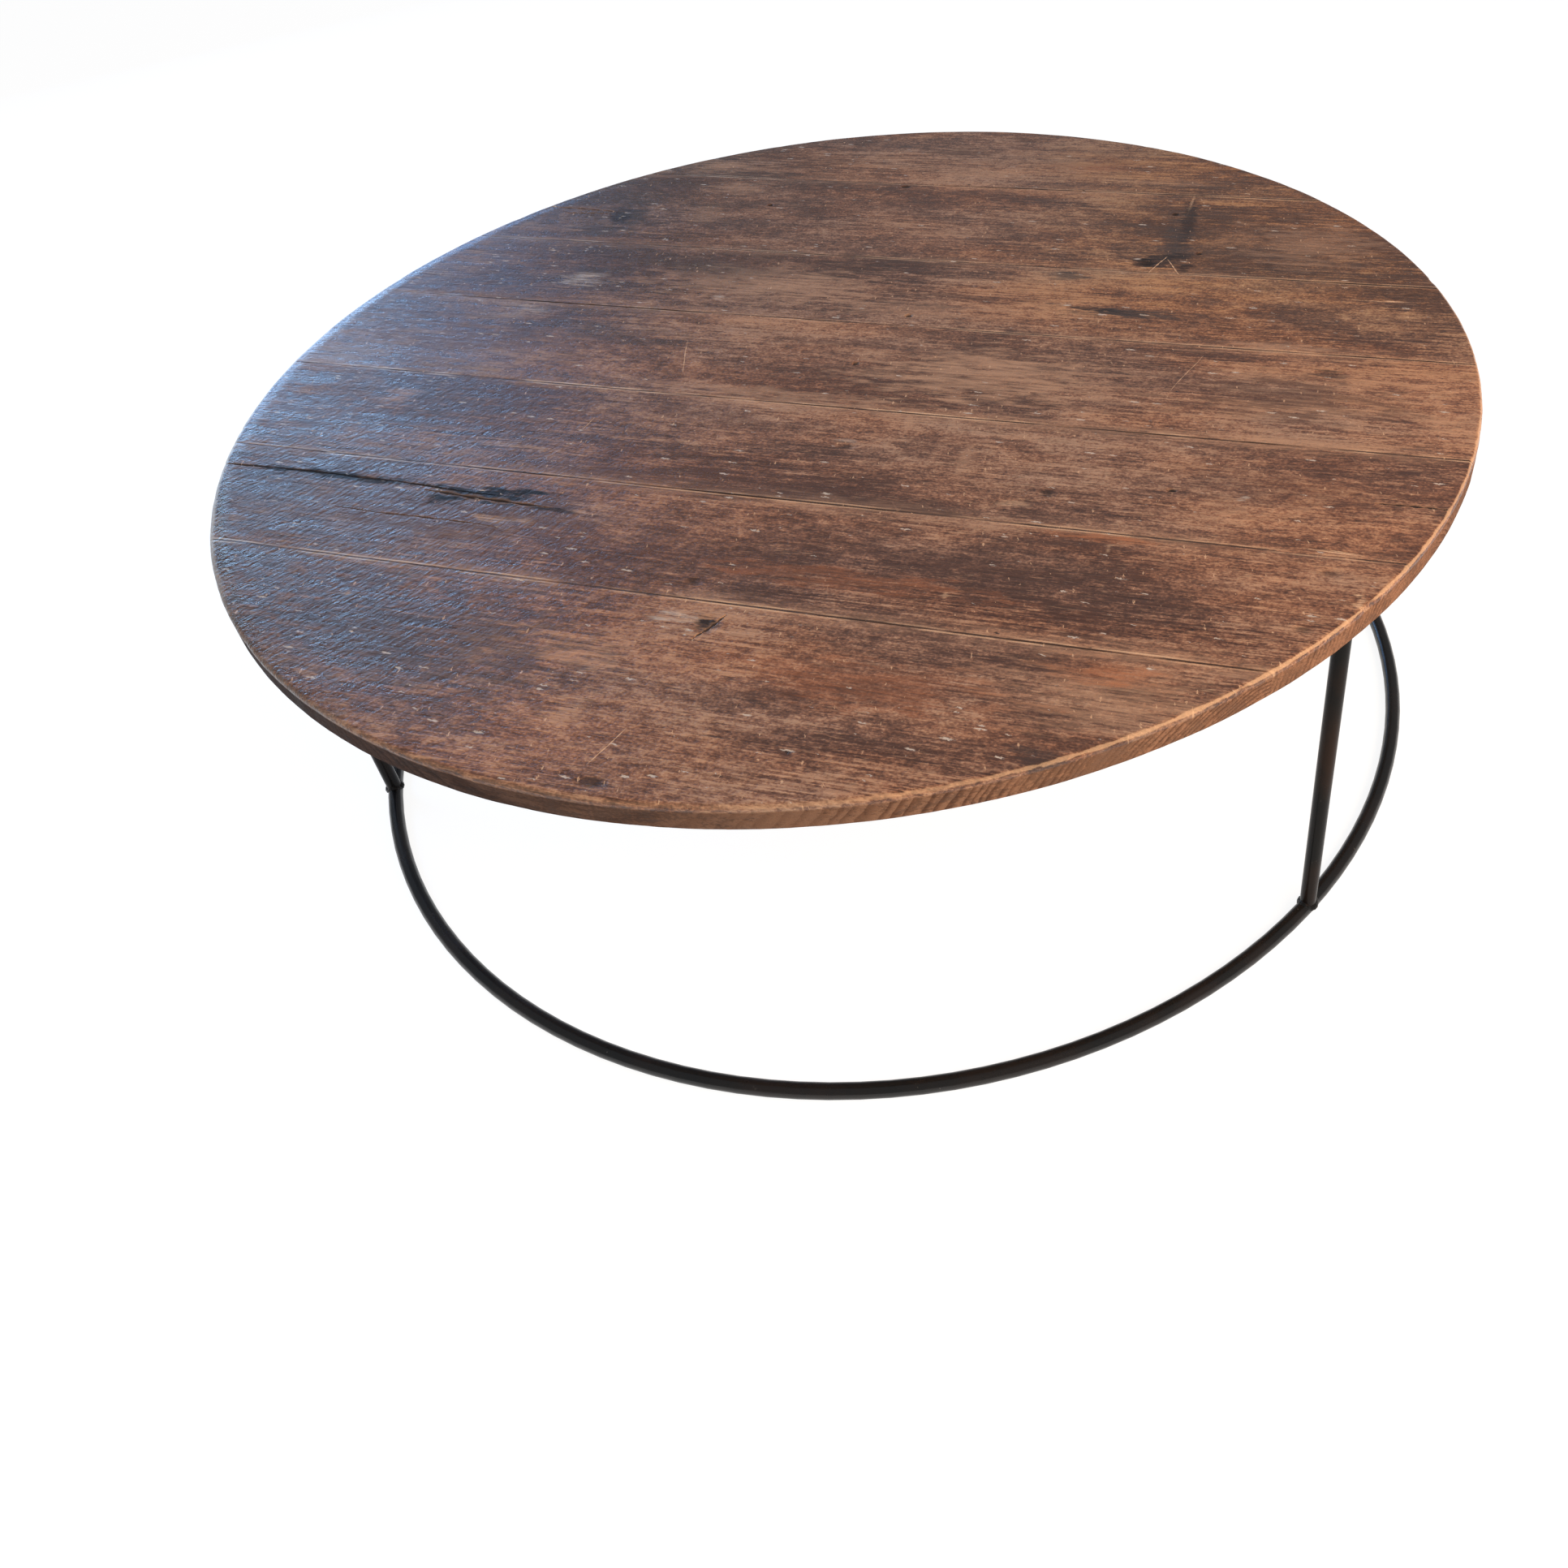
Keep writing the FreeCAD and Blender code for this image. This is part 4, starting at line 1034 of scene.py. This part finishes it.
class COFFEETABLE_OT_lacquer_bars(bpy.types.Operator):
    """Lacquers the rings, the legs and the lugs"""

    bl_idname = "coffee_table.lacquer_bars"
    bl_label = "Lacquer the bars"

    def execute(self, context):
        bars = context.scene.coffee_table_frame
        shiny = lacquer_material(bars, "black_lacquer")
        dull = lacquer_material(bars, "browned_lacquer")
        lugs = [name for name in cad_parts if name.startswith("fixing_lug")]
        for name in ("floor_ring", "upper_ring", *lugs):
            finish_node(name, shiny)
        # The legs take the browner lacquer: the brown tinge of thin lacquer, and partly painted warm light.
        for name in LEGS:
            finish_node(name, dull)
        return {"FINISHED"}


def leg_bead(name, leg, side, bars):
    """A rippled bead that follows the saddle between a leg and a ring; side is 1 above the ring and -1 below it."""
    low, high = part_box(leg)
    ring_low, ring_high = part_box("floor_ring" if side > 0 else "upper_ring")
    bar = (ring_high.z - ring_low.z) / 2
    middle = Vector(((low.x + high.x) / 2, (low.y + high.y) / 2, (ring_low.z + ring_high.z) / 2))
    bead = add_primitive(
        bpy.ops.mesh.primitive_torus_add, name, major_segments=BEAD_STEPS, minor_segments=BEAD_SIDES,
        major_radius=bar, minor_radius=bars.bead_radius,
    )
    bpy.ops.object.mode_set(mode="OBJECT")
    places = points_of(bead)
    angle = np.arctan2(places[:, 1], places[:, 0])
    reach = np.hypot(places[:, 0], places[:, 1]) - bar
    swell = 1 + 0.10 * np.abs(np.sin(angle * bars.bead_ripples / 2))
    swell = swell + 0.06 * ripple(angle * 3, angle * 0, 5 + side)
    path = bar - BEAD_SINK + (reach - BEAD_LEAN * places[:, 2]) * swell
    aside = (bar + SADDLE_SPARE) * np.cos(angle)
    saddle = np.sqrt(np.maximum(bar * bar - aside * aside, SADDLE_LOWEST**2))
    height = side * (saddle + places[:, 2] * swell)
    outward = math.atan2(middle.y, middle.x)
    along = path * np.cos(angle)
    across = path * np.sin(angle)
    moved = np.stack(
        [
            middle.x + along * math.cos(outward) - across * math.sin(outward),
            middle.y + along * math.sin(outward) + across * math.cos(outward),
            middle.z + height,
        ],
        axis=1,
    )
    move_points(bead, moved)
    bpy.ops.object.mode_set(mode="EDIT")
    bpy.ops.mesh.select_all(action="SELECT")
    bpy.ops.mesh.normals_make_consistent(inside=False)
    bpy.ops.object.mode_set(mode="OBJECT")
    bpy.ops.object.shade_smooth()
    return bead


class COFFEETABLE_OT_run_beads(bpy.types.Operator):
    """Runs a rippled weld bead round the foot and the head of every leg"""

    bl_idname = "coffee_table.run_beads"
    bl_label = "Run the weld beads"

    def execute(self, context):
        bars = context.scene.coffee_table_frame
        material = bead_material(bars)
        for name, node, side in (("foot_beads", "foot_welds", 1), ("head_beads", "head_welds", -1)):
            beads = [leg_bead(f"{name}_{leg}", leg, side, bars) for leg in LEGS]
            for bead in beads:
                bead.select_set(True)
            bpy.context.view_layer.objects.active = beads[0]
            bpy.ops.object.join()
            beads[0].name = name
            settle(beads[0], material, "black_bar", node)
        finish_node("lug_welds", material)
        return {"FINISHED"}


class COFFEETABLE_OT_plate_fasteners(bpy.types.Operator):
    """Plates the screws and washers of the lugs"""

    bl_idname = "coffee_table.plate_fasteners"
    bl_label = "Plate the fasteners"

    def execute(self, context):
        material = zinc_material(context.scene.coffee_table_frame)
        finish_node("lug_washers", material)
        finish_node("lug_screws", material)
        return {"FINISHED"}


def area_light(name, energy):
    place, target, size, colour, mirrored = LIGHTS[name]
    data = bpy.data.lights.new(name, "AREA")
    data.shape = "RECTANGLE"
    data.size, data.size_y = size
    data.energy = energy
    data.color = colour
    light = bpy.data.objects.new(name, data)
    bpy.context.scene.collection.objects.link(light)
    light.location = place
    light.visible_camera = False
    light.visible_glossy = mirrored
    light.rotation_euler = (Vector(target) - Vector(place)).to_track_quat("-Z", "Y").to_euler()


def floor_material(stage):
    """A pale floor that shows white round the object and keeps its shadow."""
    material, shade, shader, place = new_material("pale_floor")
    ray = shade.values(shade.node("ShaderNodeLightPath").outputs)
    seen = ray["Is Camera Ray"]
    for kind in ("Is Glossy Ray", "Is Transmission Ray"):
        seen = shade.math("MAXIMUM", seen, ray[kind])
    colour = shade.scale(stage.floor, 0.985 + shade.noise(place, (3.0, 3.0, 3.0)) * 0.03)
    colour = shade.mix(seen, colour, shade.scale(colour, 0.20))
    shade.feed(shader.inputs, {"Base Color": colour, "Emission Strength": seen * 0.90})
    shader.inputs["Roughness"].default_value = 0.9
    shader.inputs["Specular IOR Level"].default_value = 0.1
    shader.inputs["Emission Color"].default_value = (1.0, 1.0, 1.0, 1.0)
    return material


def hang_sky(scene, strength):
    """A sky that shows white to the camera and lights the object from all round."""
    world = bpy.data.worlds.new("studio")
    world.use_nodes = True
    scene.world = world
    world.node_tree.nodes.clear()
    shade = Shade(world.node_tree)
    ray = shade.values(shade.node("ShaderNodeLightPath").outputs)
    seen = ray["Is Camera Ray"]
    colour = shade.mix(seen, SKY_TINT, (1.0, 1.0, 1.0))
    strength = strength + seen * (1.0 - strength) + ray["Is Glossy Ray"] * SKY_MIRRORED
    sky = shade.made("ShaderNodeBackground", {"Color": colour, "Strength": strength})
    shade.feed(shade.node("ShaderNodeOutputWorld").inputs, {"Surface": sky})


def place_camera(scene, lens):
    """The camera that took the photograph, with its roll and its shift."""
    data = bpy.data.cameras.new("camera")
    data.sensor_width = SENSOR
    data.lens = lens
    data.shift_x, data.shift_y = SHIFT_X, SHIFT_Y
    camera = bpy.data.objects.new("camera", data)
    scene.collection.objects.link(camera)
    back = Vector(CAMERA_BACK).normalized()
    level = Vector(CAMERA_LEVEL).normalized()
    upward = back.cross(level)
    right = ROLL_COSINE * level - ROLL_SINE * upward
    upper = ROLL_SINE * level + ROLL_COSINE * upward
    turn = Matrix((right, upper, back)).transposed().to_4x4()
    camera.matrix_world = Matrix.Translation(CAMERA_PLACE) @ turn
    scene.camera = camera


class COFFEETABLE_OT_set_stage(bpy.types.Operator):
    """Sets the floor, the soft lights and the camera"""

    bl_idname = "coffee_table.set_stage"
    bl_label = "Set the stage"

    def execute(self, context):
        scene = context.scene
        stage = scene.coffee_table_stage
        bpy.ops.object.select_all(action="DESELECT")
        bpy.ops.mesh.primitive_plane_add(size=FLOOR_SIZE, location=(0.0, 0.0, 0.0))
        floor = context.active_object
        floor.name = "floor"
        floor.data.materials.append(floor_material(stage))
        for name in LIGHTS:
            area_light(name, getattr(stage, name))
        hang_sky(scene, stage.sky)
        place_camera(scene, stage.lens)
        scene.view_settings.view_transform = "Standard"
        return {"FINISHED"}


class COFFEETABLE_PT_pieces(bpy.types.Panel):
    """Lists the pieces of the coffee table"""

    bl_idname = "COFFEETABLE_PT_pieces"
    bl_label = "Coffee table"
    bl_space_type = "VIEW_3D"
    bl_region_type = "UI"
    bl_category = "Coffee table"

    def draw(self, context):
        for operator in OPERATORS:
            self.layout.operator(operator.bl_idname)


OPERATORS = (
    COFFEETABLE_OT_lay_boards,
    COFFEETABLE_OT_fit_dowels,
    COFFEETABLE_OT_lacquer_bars,
    COFFEETABLE_OT_run_beads,
    COFFEETABLE_OT_plate_fasteners,
    COFFEETABLE_OT_set_stage,
)
CLASSES = (TopSettings, FrameSettings, StageSettings, *OPERATORS, COFFEETABLE_PT_pieces)


def register():
    for item in CLASSES:
        bpy.utils.register_class(item)
    bpy.types.Scene.coffee_table_top = bpy.props.PointerProperty(type=TopSettings)
    bpy.types.Scene.coffee_table_frame = bpy.props.PointerProperty(type=FrameSettings)
    bpy.types.Scene.coffee_table_stage = bpy.props.PointerProperty(type=StageSettings)


def unregister():
    del bpy.types.Scene.coffee_table_stage
    del bpy.types.Scene.coffee_table_frame
    del bpy.types.Scene.coffee_table_top
    for item in reversed(CLASSES):
        bpy.utils.unregister_class(item)


def main():
    register()
    make_groups()
    bpy.ops.coffee_table.lay_boards()
    bpy.ops.coffee_table.fit_dowels()
    bpy.ops.coffee_table.lacquer_bars()
    bpy.ops.coffee_table.run_beads()
    bpy.ops.coffee_table.plate_fasteners()
    bpy.ops.coffee_table.set_stage()


if __name__ == "__main__":
    main()
